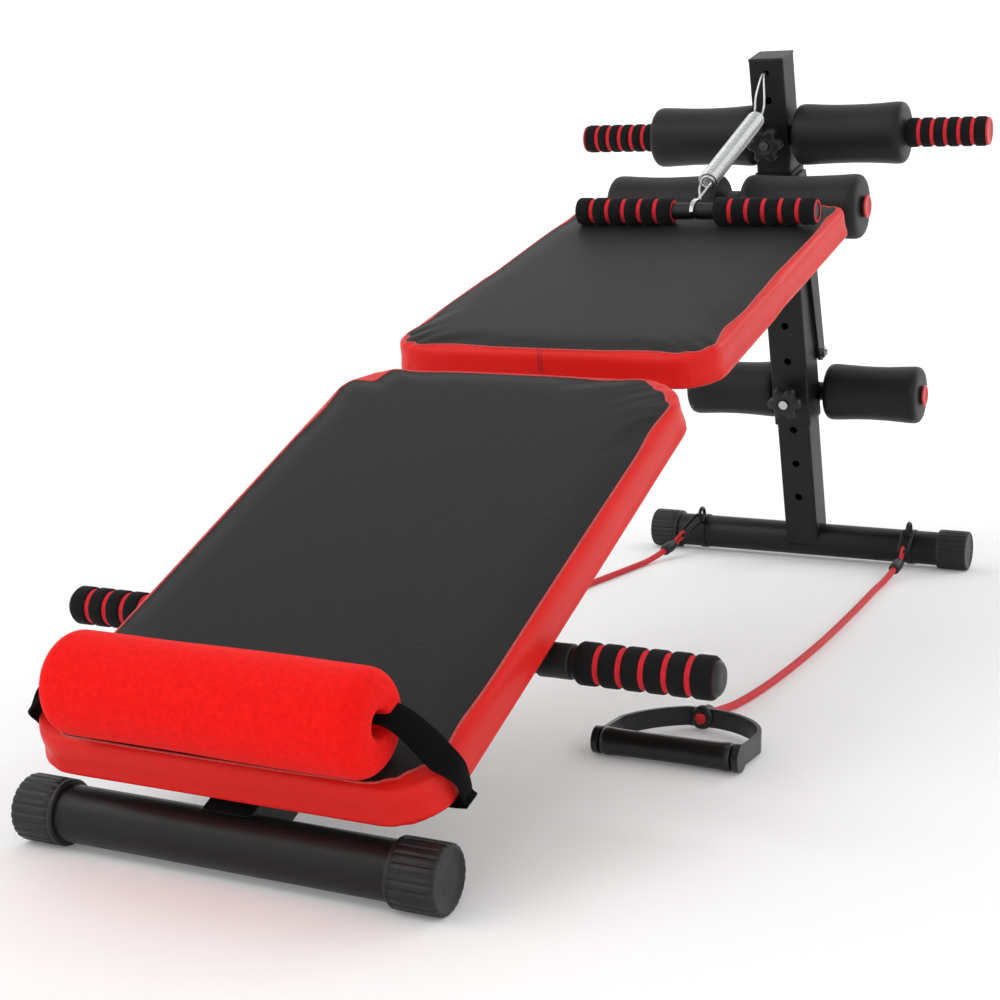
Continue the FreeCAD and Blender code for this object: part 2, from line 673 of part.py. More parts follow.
def spring_ends():
    top = post_point(-2, -53, HOOK_S - 45)
    bottom = hand_bar_axis() + V(0, 14, 22)
    return top, bottom


def add_hand_bar():
    c = hand_bar_axis()
    x0 = c.x - HAND_BAR_HALF
    x1 = c.x + HAND_BAR_HALF
    bar = cyl_x(HAND_BAR_R, x0, x1, c.y, c.z)
    groove = cyl_x(20, c.x - 3, c.x + 3, c.y, c.z).cut(cyl_x(HAND_BAR_R - 1.2, c.x - 4, c.x + 4, c.y, c.z))
    add("hand_bar", bar.cut(groove))
    bare = HAND_BARE / 2
    left = grip(x0 - 1, c.x - bare, c.y, c.z, HAND_BAR_R, HAND_GRIP_R, 5)
    right = grip(c.x + bare, x1 + 1, c.y, c.z, HAND_BAR_R, HAND_GRIP_R, 5)
    add("hand_grips", Part.makeCompound([left, right]))


def add_spring():
    top, bottom = spring_ends()
    d = (bottom - top).normalize()
    coil = cyl(SPRING_R, (bottom - top).Length - 34, top + d * 8, d)
    c = hand_bar_axis()
    wire = 1.6
    hole = post_point(-2, -POST_W / 2 - wire - 0.4, HOOK_S)
    inside = post_point(-2, -POST_W / 2 + TUBE_WALL + 5, HOOK_S)
    low = [bottom - d * 27, bottom - d * 14, c + V(0, 9, 13), c + V(0, -6, 12.5), c + V(0, -12.5, 2)]
    high = rod([inside, hole, top + V(0, 0, 6), top + d * 9], wire)
    add("pull_spring", one([coil, rod(low, wire), high]))


# ---- cords --------------------------------------------------------------
def cord_tube(route, radius):
    """Straight runs joined by the largest arcs that the runs allow."""
    pts = [world(*p) for p in route]
    edges = []
    last = pts[0]
    length = 0.0
    radii = []
    for a, b, c in zip(pts, pts[1:], pts[2:]):
        u = (b - a).normalize()
        w = (c - b).normalize()
        half = math.acos(min(1.0, u.dot(w))) / 2
        reach = 0.45 * min((b - a).Length, (c - b).Length)
        r = reach / math.tan(half)
        radii.append(r)
        p = b - u * reach
        q = b + w * reach
        centre = b + (w - u).normalize() * (r / math.cos(half))
        m = centre + (b - centre).normalize() * r
        edges.append(Part.LineSegment(last, p).toShape())
        edges.append(Part.Arc(p, m, q).toShape())
        length += (p - last).Length + 2 * half * r
        last = q
    edges.append(Part.LineSegment(last, pts[-1]).toShape())
    length += (pts[-1] - last).Length
    path = Part.Wire(edges)
    ring = Part.Wire(Part.makeCircle(radius, pts[0], pts[1] - pts[0]))
    tube = path.makePipeShell([ring], True, False)
    error = tube.Volume / (math.pi * radius * radius * length) - 1
    print("cord: length %.1f, volume error %.4f, smallest radius %.0f" % (length, error, min(radii)))
    return tube


def clamp(x):
    """Band that swivels on the rear foot, with a wire eye on its front."""
    band = cyl_x(CLAMP_R, x - CLAMP_W / 2, x + CLAMP_W / 2, REAR_Y, FOOT_Z)
    lug_dir = V(0, -0.62, 0.785)
    eye_c = V(x, REAR_Y, FOOT_Z) + lug_dir * (CLAMP_R + EYE_R + 1.0)
    eye = Part.makeTorus(EYE_R, EYE_WIRE, eye_c, X_AXIS)
    band = band.fuse(eye)
    return band.cut(cyl_x(FOOT_R + RUN_FIT, x - 40, x + 40, REAR_Y, FOOT_Z)).removeSplitter()


def eye_centre(x):
    return V(x, REAR_Y, FOOT_Z) + V(0, -0.62, 0.785) * (CLAMP_R + EYE_R + 1.0)


def slot_ring(a, b, across, half, wire):
    """Long closed wire loop from a to b, flat in the plane of a-b and across."""
    d = (b - a).normalize()
    s = across * half
    p = [a + s, b + s, b - s, a - s]
    arc1 = Part.Arc(p[1], b + d * half, p[2]).toShape()
    arc2 = Part.Arc(p[3], a - d * half, p[0]).toShape()
    side1 = Part.LineSegment(p[0], p[1]).toShape()
    side2 = Part.LineSegment(p[2], p[3]).toShape()
    path = Part.Wire([side1, arc1, side2, arc2])
    ring = Part.Wire(Part.makeCircle(wire, p[0], d))
    return path.makePipeShell([ring], True, False)


def add_cord(side, sign, route):
    x = sign * CLAMP_X
    add("cord_clamp_" + side, clamp(x))
    eye = eye_centre(x)
    start = world(*route[0])
    d = (world(*route[1]) - start).normalize()
    ferrule_in = start - d * 26
    ferrule = Part.makeCone(6.0, 7.6, 7, ferrule_in, d).fuse(cyl(7.6, 19, ferrule_in + d * 7, d))
    add("cord_ferrule_" + side, ferrule)
    hook_top = eye + V(0, -EYE_R + 6.2, 0)
    loop_low = ferrule_in + V(0, 0, 0)
    aim = (loop_low - hook_top).normalize()
    across = V(1, 0, 0)
    across = (across - aim * across.dot(aim)).normalize()
    hook_low = loop_low - aim * 17
    hook = slot_ring(hook_top + aim * 6.5, hook_low - aim * 9, across, 6.5, 2.0)
    add("snap_hook_" + side, hook)
    over = aim.cross(across)
    loop = slot_ring(hook_low - aim * 4.6, loop_low - aim * 6.6, over, 4.0, 1.8)
    add("cord_loop_" + side, loop)
    add("cord_" + side, cord_tube(route, CORD_R))
    add_handle(side, sign, route)


def add_handle(side, sign, route):
    """D handle lying flat on the floor: a grip, and a bail with a boss."""
    boss = world(sign * BOSS[0], BOSS[1], BOSS[2])
    end = world(*route[-1])
    gy = boss.y - GRIP_BACK
    gx = boss.x + sign * 9.0
    grip_tube = cyl_x(HANDLE_GRIP_R, gx - HANDLE_HALF, gx + HANDLE_HALF, gy, HANDLE_GRIP_R + 0.5)
    grip_tube = grip_tube.cut(cyl_x(8.0, gx - 100, gx + 100, gy, HANDLE_GRIP_R + 0.5))
    add("handle_grip_" + side, grip_tube)
    t = 4.0
    w = HANDLE_HALF + 5.0
    outer = bail_face(gx, gy, boss, w + t / 2, t / 2)
    inner = bail_face(gx, gy, boss, w - t / 2, -t / 2)
    bail = outer.extrude(V(0, 0, 18)).cut(inner.extrude(V(0, 0, 18)))
    for s in (-1, 1):
        x0 = gx + s * w - 3.0
        ends = sorted([x0 + 3, gx + s * (HANDLE_HALF - 14)])
        bail = bail.fuse(cyl_x(HANDLE_GRIP_R - 0.3, x0, x0 + 6.0, gy, HANDLE_GRIP_R + 0.5))
        bail = bail.fuse(cyl_x(7.8, ends[0], ends[1], gy, HANDLE_GRIP_R + 0.5))
    boss_len = abs(end.y - boss.y) + 6
    bail = bail.fuse(cyl(8.5, boss_len, V(boss.x, boss.y - 6, boss.z), V(0, 1, 0)))
    add("handle_bail_" + side, bail.removeSplitter())


def bail_face(gx, gy, boss, half, grow):
    """Plan outline of the bail, in the level plane at its lower edge."""
    z = boss.z - 9.0
    tip_y = boss.y + grow
    knee_y = gy + KNEE_BACK
    pts = [V(gx - half, gy - 2 + abs(grow), z), V(gx - half, knee_y, z), V(boss.x - 14, tip_y, z),
           V(boss.x + 14, tip_y, z), V(gx + half, knee_y, z), V(gx + half, gy - 2 + abs(grow), z)]
    side_l = Part.LineSegment(pts[0], pts[1]).toShape()
    arc_l = Part.Arc(pts[1], V(gx - half * 0.72, knee_y + (tip_y - knee_y) * 0.62, z), pts[2]).toShape()
    top = Part.LineSegment(pts[2], pts[3]).toShape()
    arc_r = Part.Arc(pts[3], V(gx + half * 0.72, knee_y + (tip_y - knee_y) * 0.62, z), pts[4]).toShape()
    side_r = Part.LineSegment(pts[4], pts[5]).toShape()
    base = Part.LineSegment(pts[5], pts[0]).toShape()
    return Part.Face(Part.Wire([side_l, arc_l, top, arc_r, side_r, base]))


def build():
    add_feet()
    add_post()
    add_fold()
    add_lock()
    add_knobs()
    add_hold_bar()
    add_foot_bar()
    add_knee_bar()
    add_push_bar()
    add_beam()
    add_boards()
    add_pillow()
    add_hand_bar()
    add_spring()
    add_cord("right", 1, RIGHT_ROUTE)
    add_cord("left", -1, LEFT_ROUTE)


def write():
    os.makedirs("parts", exist_ok=True)
    for name, shape in PARTS.items():
        shape.exportStep("parts/" + name + ".step")


build()
write()
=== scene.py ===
import math

import bpy
import numpy as np
from mathutils import Matrix, Vector, noise
from mathutils.bvhtree import BVHTree


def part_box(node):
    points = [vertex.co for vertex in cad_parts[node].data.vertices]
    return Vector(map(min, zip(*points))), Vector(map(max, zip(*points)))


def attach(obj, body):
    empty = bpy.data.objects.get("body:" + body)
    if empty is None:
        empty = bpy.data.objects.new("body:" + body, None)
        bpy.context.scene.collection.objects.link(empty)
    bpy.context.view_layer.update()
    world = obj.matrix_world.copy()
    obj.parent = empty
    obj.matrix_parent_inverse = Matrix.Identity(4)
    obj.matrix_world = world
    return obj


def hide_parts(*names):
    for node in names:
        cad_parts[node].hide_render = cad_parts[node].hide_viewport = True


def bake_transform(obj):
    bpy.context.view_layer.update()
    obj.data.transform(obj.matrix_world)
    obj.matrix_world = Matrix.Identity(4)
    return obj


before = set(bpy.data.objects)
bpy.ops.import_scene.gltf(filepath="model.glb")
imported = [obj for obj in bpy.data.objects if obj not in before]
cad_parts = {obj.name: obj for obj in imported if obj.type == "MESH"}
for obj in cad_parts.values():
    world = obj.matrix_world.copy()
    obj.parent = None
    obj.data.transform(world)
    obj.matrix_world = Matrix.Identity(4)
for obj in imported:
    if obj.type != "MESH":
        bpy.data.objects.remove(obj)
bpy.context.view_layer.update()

REAR_Y = 0.7190

# millimetres, as in the part's own design
LEAN = 16.5
LOWER = {"near": (-1430.5, 93.4), "slope": 25.5, "length": 581.0,
         "widths": (376.0, 370.0), "radii": (50, 56)}
UPPER = {"near": (-868.0, 354.6), "slope": 16.6, "length": 496.0,
         "widths": (362.0, 342.0), "radii": (44, 24)}
PAD_THICKNESS = 40.0
SEAM_DROP = 4.5
CORD_RIGHT = [(150.5, -100.0, 12.5), (149.0, -132.0, 4.6), (151.5, -188.0, 4.0), (160.0, -274.0, 4.0),
              (168.5, -374.0, 4.0), (177.0, -480.0, 4.0), (182.5, -584.0, 4.0), (185.5, -682.0, 4.0),
              (184.5, -762.0, 4.0), (181.0, -818.0, 5.5), (180.0, -865.0, 13.0)]
CORD_LEFT = [(-173.0, -104.0, 12.5), (-179.0, -136.0, 4.6), (-183.0, -192.0, 4.0), (-187.5, -278.0, 4.0),
             (-193.5, -376.0, 4.0), (-195.5, -480.0, 4.0), (-192.0, -584.0, 4.0), (-187.0, -682.0, 4.0),
             (-184.0, -762.0, 4.0), (-181.0, -818.0, 5.5), (-180.0, -865.0, 13.0)]

SIDES = (("left", -1), ("right", 1))
HOLD_SHIFT = 3.0
HOLD_BAR = (HOLD_SHIFT, 0, 574)
HOLD_END = 265.0
FOOT_BAR = (0, 37.6, 208)
FOOT_END = 164.0
KNEE_BAR = (0, -311, 487.5)
KNEE_END = 162.0
PUSH_BAR_Y = -1187
PUSH_END = 307.0
FRONT_FOOT = (0, -1398.5, 26.5)
FRONT_FOOT_HALF = 188.0
REAR_FOOT = (0, 0, 26.5)
REAR_FOOT_HALF = 226.0

# metres
FLOOR_REACH = 5.5
WALL_CURVE = 3.0

CAMERA = {"turn": 27.03, "down": 9.129, "roll": -0.296, "lens": 67.75, "shift": 0.002,
          "place": (793.25, -2507.15, 499.96)}


def at(x, y, z):
    """A point measured in millimetres from the rear foot."""
    return Vector((x / 1000, y / 1000 + REAR_Y, z / 1000))


def on_post(x, back, along):
    """A point beside the leaning post: behind it, and up along it."""
    c = math.cos(math.radians(LEAN))
    s = math.sin(math.radians(LEAN))
    return at(x, back * c - along * s, 26.5 + back * s + along * c)


def board_frame(board):
    """The board's own axes: x across, y up the slope, z out of its top."""
    place = Matrix.Translation(at(0, *board["near"]))
    return place @ Matrix.Rotation(math.radians(board["slope"]), 4, "X")


# ---- camera and light -------------------------------------------
def set_camera():
    turn, down, roll = (math.radians(CAMERA[angle]) for angle in ("turn", "down", "roll"))
    ahead = Vector((-math.sin(turn) * math.cos(down), math.cos(turn) * math.cos(down), -math.sin(down)))
    level = Vector((math.cos(turn), math.sin(turn), 0))
    upright = level.cross(ahead)
    right = level * math.cos(roll) + upright * math.sin(roll)
    up = upright * math.cos(roll) - level * math.sin(roll)
    camera = bpy.data.objects.new("camera", bpy.data.cameras.new("camera"))
    camera.data.lens = CAMERA["lens"]
    camera.data.sensor_width = 36.0
    camera.data.shift_x = CAMERA["shift"]
    camera.data.clip_end = 50.0
    axes = Matrix((right, up, -ahead)).transposed().to_4x4()
    camera.matrix_world = Matrix.Translation(at(*CAMERA["place"])) @ axes
    bpy.context.collection.objects.link(camera)
    bpy.context.scene.camera = camera


def soft_light(name, place, aim, size, watts):
    lamp = bpy.data.objects.new(name, bpy.data.lights.new(name, "AREA"))
    lamp.data.shape = "RECTANGLE"
    lamp.data.size = size[0]
    lamp.data.size_y = size[1]
    lamp.data.energy = watts
    lamp.location = place
    lamp.rotation_euler = (Vector(aim) - Vector(place)).to_track_quat("-Z", "Y").to_euler()
    bpy.context.collection.objects.link(lamp)


def set_studio():
    soft_light("key", (-1.7, -2.2, 3.0), (0, 0, 0.3), (2.0, 2.0), 30)
    soft_light("fill", (3.0, -1.8, 1.9), (0, 0, 0.3), (1.6, 1.6), 5)
    soft_light("top", (-0.6, 0.8, 4.2), (-0.6, 0.8, 0), (3.4, 3.4), 38)
    soft_light("rim", (1.2, 2.6, 1.8), (0, 0.3, 0.4), (1.2, 1.2), 9)
    world = bpy.data.worlds.new("studio")
    world.use_nodes = True
    world.node_tree.nodes["Background"].inputs["Color"].default_value = (1, 1, 1, 1)
    world.node_tree.nodes["Background"].inputs["Strength"].default_value = 0.16
    bpy.context.scene.world = world
    bpy.context.scene.view_settings.view_transform = "Standard"


# ---- materials ----------------------------------------------------------
def srgb(code):
    """A hex colour as linear red, green, blue and alpha."""
    out = []
    for i in (1, 3, 5):
        c = int(code[i:i + 2], 16) / 255
        out.append(c / 12.92 if c <= 0.04045 else ((c + 0.055) / 1.055) ** 2.4)
    return (*out, 1.0)


def per_mm(size):
    """Texture scale that makes a pattern's repeat this many millimetres."""
    return 1000.0 / size


def add_node(tree, kind, settings=None, links=None):
    """Add a node, set its own settings or input values, and link sockets in."""
    node = tree.nodes.new("ShaderNode" + kind)
    for name, value in (settings or {}).items():
        if isinstance(name, str) and hasattr(node, name):
            setattr(node, name, value)
        else:
            node.inputs[name].default_value = value
    for name, socket in (links or {}).items():
        tree.links.new(socket, node.inputs[name])
    return node


def start(name):
    material = bpy.data.materials.new(name)
    material.use_nodes = True
    material.node_tree.nodes.clear()
    tree = material.node_tree
    place = add_node(tree, "TexCoord").outputs["Object"]
    return material, tree, place


def two_tones(tree, dark, light, factor):
    """Blend two hex colours by another node's first output."""
    colours = {"Color1": srgb(dark), "Color2": srgb(light)}
    return add_node(tree, "MixRGB", colours, {0: factor.outputs[0]})


def end(tree, settings, links):
    """Close the material with one principled shader."""
    shader = add_node(tree, "BsdfPrincipled", settings, links)
    add_node(tree, "OutputMaterial", {}, {"Surface": shader.outputs["BSDF"]})


def powder_coated_steel():
    """Mild steel tube in satin black polyester powder: faint orange peel, soft broad glints."""
    material, tree, place = start("powder_coated_steel")
    peel = add_node(tree, "TexNoise", {"Scale": per_mm(1.6), "Detail": 2.0}, {"Vector": place})
    cloud = add_node(tree, "TexNoise", {"Scale": per_mm(90), "Detail": 3.0}, {"Vector": place})
    tone = two_tones(tree, "#0a0a0b", "#131314", cloud)
    dull = add_node(tree, "MapRange", {"To Min": 0.36, "To Max": 0.52}, {"Value": cloud.outputs[0]})
    soft = add_node(tree, "Bevel", {"samples": 3, "Radius": 0.0012})
    bump = add_node(tree, "Bump", {"Strength": 0.16, "Distance": 0.0003},
                    {"Height": peel.outputs[0], "Normal": soft.outputs[0]})
    end(tree, {"IOR": 1.5, "Specular IOR Level": 0.3},
        {"Base Color": tone.outputs[0], "Roughness": dull.outputs[0], "Normal": bump.outputs[0]})
    return material


def moulded_nylon():
    """Injection moulded black nylon: matt, with a faint grey bloom on the high spots."""
    material, tree, place = start("moulded_nylon")
    grain = add_node(tree, "TexNoise", {"Scale": per_mm(1.2), "Detail": 3.0}, {"Vector": place})
    bloom = add_node(tree, "TexNoise", {"Scale": per_mm(16), "Detail": 4.0}, {"Vector": place})
    tone = two_tones(tree, "#0e0e0f", "#212223", bloom)
    bump = add_node(tree, "Bump", {"Strength": 0.2, "Distance": 0.0003}, {"Height": grain.outputs[0]})
    end(tree, {"Roughness": 0.46, "IOR": 1.53, "Specular IOR Level": 0.34},
        {"Base Color": tone.outputs[0], "Normal": bump.outputs[0]})
    return material


def polished_handle_plastic():
    """Black polypropylene from a polished mould: darker than the caps and slicker."""
    material, tree, place = start("polished_handle_plastic")
    ripple = add_node(tree, "TexNoise", {"Scale": per_mm(14), "Detail": 2.0}, {"Vector": place})
    dull = add_node(tree, "MapRange", {"To Min": 0.24, "To Max": 0.4}, {"Value": ripple.outputs[0]})
    soft = add_node(tree, "Bevel", {"samples": 3, "Radius": 0.001})
    bump = add_node(tree, "Bump", {"Strength": 0.1, "Distance": 0.0004},
                    {"Height": ripple.outputs[0], "Normal": soft.outputs[0]})
    end(tree, {"Base Color": srgb("#0d0d0e"), "IOR": 1.49},
        {"Roughness": dull.outputs[0], "Normal": bump.outputs[0]})
    return material


def skinned_foam():
    """Closed cell foam roller with a smooth skin: satin black, soft edge sheen."""
    material, tree, place = start("skinned_foam")
    skin = add_node(tree, "TexNoise", {"Scale": per_mm(2.2), "Detail": 4.0, "Roughness": 0.6},
                    {"Vector": place})
    dull = add_node(tree, "MapRange", {"To Min": 0.42, "To Max": 0.6}, {"Value": skin.outputs[0]})
    bump = add_node(tree, "Bump", {"Strength": 0.14, "Distance": 0.0004}, {"Height": skin.outputs[0]})
    end(tree, {"Base Color": srgb("#0e0e0e"), "Specular IOR Level": 0.3, "Sheen Weight": 0.05,
               "Sheen Roughness": 0.4},
        {"Roughness": dull.outputs[0], "Normal": bump.outputs[0]})
    return material


def open_sponge(name, dark, light, cell):
    """Cut open-cell sponge: many fine pits, no shine; cells are drawn coarse enough to be seen."""
    material, tree, place = start(name)
    pits = add_node(tree, "TexVoronoi", {"Scale": per_mm(cell)}, {"Vector": place})
    fine = add_node(tree, "TexNoise", {"Scale": per_mm(cell * 2.5), "Detail": 5.0}, {"Vector": place})
    tone = two_tones(tree, dark, light, fine)
    bump = add_node(tree, "Bump", {"Strength": 0.35, "Distance": 0.0005},
                    {"Height": pits.outputs["Distance"]})
    end(tree, {"Roughness": 0.86, "Specular IOR Level": 0.12, "Sheen Weight": 0.03},
        {"Base Color": tone.outputs[0], "Normal": bump.outputs[0]})
    return material


def two_tone_leatherette():
    """PVC leatherette sewn from two pieces: grained charcoal on top, smooth red down the sides."""
    material, tree, place = start("two_tone_leatherette")
    split = add_node(tree, "SeparateXYZ", {}, {"Vector": place})
    top = add_node(tree, "Math", {"operation": "GREATER_THAN", 1: -SEAM_DROP / 1000},
                   {0: split.outputs["Z"]})
    grain = add_node(tree, "TexVoronoi", {"Scale": per_mm(2.6), "feature": "SMOOTH_F1"},
                     {"Vector": place})
    pore = add_node(tree, "TexNoise", {"Scale": per_mm(3.4), "Detail": 6.0, "Roughness": 0.65},
                    {"Vector": place})
    cloud = add_node(tree, "TexNoise", {"Scale": per_mm(120), "Detail": 3.0}, {"Vector": place})
    charcoal = two_tones(tree, "#171717", "#262626", pore)
    red = two_tones(tree, "#c41713", "#e62620", cloud)
    colour = add_node(tree, "MixRGB", {},
                      {0: top.outputs[0], "Color1": red.outputs[0], "Color2": charcoal.outputs[0]})
    relief = add_node(tree, "MixRGB", {"blend_type": "MULTIPLY", 0: 0.5},
                      {"Color1": grain.outputs["Distance"], "Color2": pore.outputs[0]})
    depth = add_node(tree, "MapRange", {"To Min": 0.12, "To Max": 0.42}, {"Value": top.outputs[0]})
    bump = add_node(tree, "Bump", {"Distance": 0.0007},
                    {"Height": relief.outputs[0], "Strength": depth.outputs[0]})
    dull = add_node(tree, "MapRange", {"To Min": 0.40, "To Max": 0.56}, {"Value": top.outputs[0]})
    end(tree, {"IOR": 1.48, "Specular IOR Level": 0.17},
        {"Base Color": colour.outputs[0], "Roughness": dull.outputs[0], "Normal": bump.outputs[0]})
    return material


def stitched_thread(name, dark, light):
    """Sewn edge in twisted thread: uneven light and dark along it."""
    material, tree, place = start(name)
    twist = add_node(tree, "TexNoise", {"Scale": per_mm(3.0), "Detail": 2.0}, {"Vector": place})
    tone = two_tones(tree, dark, light, twist)
    bump = add_node(tree, "Bump", {"Strength": 0.4, "Distance": 0.0004}, {"Height": twist.outputs[0]})
    end(tree, {"Roughness": 0.6}, {"Base Color": tone.outputs[0], "Normal": bump.outputs[0]})
    return material


def woven_webbing():
    """Black polyester webbing: a tight diagonal weave."""
    material, tree, place = start("woven_webbing")
    warp = add_node(tree, "TexWave", {"Scale": per_mm(6), "bands_direction": "DIAGONAL"}, {"Vector": place})
    weft = add_node(tree, "TexWave", {"Scale": per_mm(6), "bands_direction": "Y"}, {"Vector": place})
    weave = add_node(tree, "MixRGB", {0: 0.5}, {"Color1": warp.outputs[0], "Color2": weft.outputs[0]})
    tone = two_tones(tree, "#020202", "#080808", weave)
    bump = add_node(tree, "Bump", {"Strength": 0.4, "Distance": 0.0005}, {"Height": weave.outputs[0]})
    end(tree, {"Roughness": 0.82, "Specular IOR Level": 0.08, "Sheen Weight": 0.01},
        {"Base Color": tone.outputs[0], "Normal": bump.outputs[0]})
    return material


def braided_cord():
    """Elastic cord in a red braided sleeve: fine crossing strands."""
    material, tree, place = start("braided_cord")
    left = add_node(tree, "TexWave", {"Scale": per_mm(6), "bands_direction": "DIAGONAL"}, {"Vector": place})
    fuzz = add_node(tree, "TexNoise", {"Scale": per_mm(2.5), "Detail": 4.0}, {"Vector": place})
    weave = add_node(tree, "MixRGB", {0: 0.5}, {"Color1": left.outputs[0], "Color2": fuzz.outputs[0]})
    tone = two_tones(tree, "#b81722", "#e02c35", weave)
    bump = add_node(tree, "Bump", {"Strength": 0.4, "Distance": 0.0004}, {"Height": weave.outputs[0]})
    end(tree, {"Roughness": 0.6, "Specular IOR Level": 0.25, "Sheen Weight": 0.05},
        {"Base Color": tone.outputs[0], "Normal": bump.outputs[0]})
    return material


def zinc_plated_steel():
    """Bright zinc on steel: pale grey metal with a slight cloud in its shine."""
    material, tree, place = start("zinc_plated_steel")
    cloud = add_node(tree, "TexNoise", {"Scale": per_mm(30), "Detail": 2.0}, {"Vector": place})
    dull = add_node(tree, "MapRange", {"To Min": 0.2, "To Max": 0.32}, {"Value": cloud.outputs[0]})
    tone = two_tones(tree, "#b4b6b8", "#d6d7d8", cloud)
    end(tree, {"Metallic": 1.0}, {"Base Color": tone.outputs[0], "Roughness": dull.outputs[0]})
    return material


def moulded_red_plastic():
    """Red polyethylene plug: waxy, slightly shiny."""
    material, tree, place = start("moulded_red_plastic")
    wax = add_node(tree, "TexNoise", {"Scale": per_mm(6), "Detail": 2.0}, {"Vector": place})
    tone = two_tones(tree, "#b3151c", "#da2830", wax)
    end(tree, {"Roughness": 0.42}, {"Base Color": tone.outputs[0]})
    return material


def sawn_plywood():
    """Plywood base: brown plies with a dull grain."""
    material, tree, place = start("sawn_plywood")
    grain = add_node(tree, "TexWave", {"Scale": per_mm(40), "Distortion": 6.0, "Detail": 3.0},
                     {"Vector": place})
    tone = two_tones(tree, "#4a3524", "#7a5b3e", grain)
    bump = add_node(tree, "Bump", {"Strength": 0.2, "Distance": 0.0004}, {"Height": grain.outputs[0]})
    end(tree, {"Roughness": 0.75}, {"Base Color": tone.outputs[0], "Normal": bump.outputs[0]})
    return material


def studio_paper():
    """White seamless paper with a painted glow: emission that grows stronger away from the middle."""
    material, tree, place = start("studio_paper")
    cloud = add_node(tree, "TexNoise", {"Scale": 0.6}, {"Vector": place})
    tone = two_tones(tree, "#f4f4f4", "#f8f8f8", cloud)
    # painted glow: the paper emits light itself, more the farther it lies from the bench
    reach = add_node(tree, "VectorMath", {"operation": "LENGTH"}, {0: place})
    painted_glow = add_node(tree, "MapRange", {"From Min": 1.2, "From Max": 4.5, "To Min": 0.07, "To Max": 0.34},
                    {"Value": reach.outputs["Value"]})
    end(tree, {"Roughness": 0.9, "Specular IOR Level": 0.1, "Emission Color": srgb("#ffffff")},
        {"Base Color": tone.outputs[0], "Emission Strength": painted_glow.outputs[0]})
    return material


# ---- mesh helpers -------------------------------------------------------
def mesh_piece(name, points, faces, materials, picks=None, smooth=True):
    mesh = bpy.data.meshes.new(name)
    mesh.from_pydata([tuple(p) for p in points], [], faces)
    for material in materials:
        mesh.materials.append(material)
    if picks is not None:
        mesh.polygons.foreach_set("material_index", picks)
    mesh.polygons.foreach_set("use_smooth", [smooth] * len(mesh.polygons))
    mesh.update()
    piece = bpy.data.objects.new(name, mesh)
    bpy.context.collection.objects.link(piece)
    return piece


def baked(piece):
    """Apply the piece's modifiers."""
    bpy.context.view_layer.update()
    mesh = bpy.data.meshes.new_from_object(piece.evaluated_get(bpy.context.evaluated_depsgraph_get()))
    old = piece.data
    piece.modifiers.clear()
    piece.data = mesh
    bpy.data.meshes.remove(old)
    return piece


def subdivided(piece, levels):
    piece.modifiers.new("smooth", "SUBSURF").levels = levels
    return baked(piece)


def loft(name, rings, materials, picks=None, close_ends=True):
    """Skin over rings of equal length; picks gives each band's material."""
    n = len(rings[0])
    points = [p for ring in rings for p in ring]
    faces = []
    chosen = []
    for i in range(len(rings) - 1):
        for j in range(n):
            k = (j + 1) % n
            faces.append((i * n + j, i * n + k, (i + 1) * n + k, (i + 1) * n + j))
            chosen.append(picks[i] if picks else 0)
    if close_ends:
        faces.append(tuple(reversed(range(n))))
        faces.append(tuple((len(rings) - 1) * n + j for j in range(n)))
        chosen += [chosen[0], chosen[-1]]
    return mesh_piece(name, points, faces, materials, chosen)


def turned(name, profile, centre, materials, picks=None, steps=48, close_ends=True):
    """Lathe (x, radius) pairs, in millimetres, about the cross axis through a centre."""
    rings = []
    for x, r in profile:
        ring = []
        for j in range(steps):
            a = -2 * math.pi * j / steps
            ring.append(Vector((x / 1000, centre.y + r * math.cos(a) / 1000,
                                centre.z + r * math.sin(a) / 1000)))
        rings.append(ring)
    return loft(name, rings, materials, picks, close_ends)


def wire(name, points, radius, material, order=3, closed=False, sides=8):
    """Round wire along a smooth line, as a mesh."""
    curve = bpy.data.curves.new(name, "CURVE")
    curve.dimensions = "3D"
    curve.bevel_depth = radius
    curve.bevel_resolution = max(1, sides // 4)
    curve.use_fill_caps = True
    spline = curve.splines.new("NURBS")
    spline.points.add(len(points) - 1)
    for p, q in zip(spline.points, points):
        p.co = (*q, 1.0)
    spline.order_u = order
    spline.use_cyclic_u = closed
    spline.use_endpoint_u = not closed
    spline.resolution_u = 6
    holder = bpy.data.objects.new(name + "_line", curve)
    bpy.context.collection.objects.link(holder)
    bpy.context.view_layer.update()
    mesh = bpy.data.meshes.new_from_object(holder.evaluated_get(bpy.context.evaluated_depsgraph_get()))
    bpy.data.objects.remove(holder)
    bpy.data.curves.remove(curve)
    mesh.materials.clear()
    mesh.materials.append(material)
    mesh.polygons.foreach_set("use_smooth", [True] * len(mesh.polygons))
    piece = bpy.data.objects.new(name, mesh)
    bpy.context.collection.objects.link(piece)
    return piece


def dress(material, *nodes):
    for name in nodes:
        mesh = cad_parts[name].data
        mesh.materials.clear()
        mesh.materials.append(material)


# ---- floor cords --------------------------------------------------------
def make_cord(side, route, finishes):
    body = "cord_set_" + side
    curve = bpy.data.curves.new("floor_cord_" + side, "CURVE")
    curve.dimensions = "3D"
    curve.bevel_depth = 0.004
    curve.bevel_resolution = 4
    curve.use_fill_caps = True
    spline = curve.splines.new("NURBS")
    points = [at(*p) for p in route]
    spline.points.add(len(points) - 1)
    for p, q in zip(spline.points, points):
        p.co = (*q, 1.0)
    spline.order_u = 3
    spline.use_endpoint_u = True
    spline.resolution_u = 16
    curve.materials.append(finishes["cord"])
    cord = bpy.data.objects.new("floor_cord_" + side, curve)
    bpy.context.collection.objects.link(cord)
    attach(cord, body)
    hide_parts("cord_" + side)
    ferrule = make_ferrule(side, points, finishes)
    make_knot(side, finishes)
    return cord


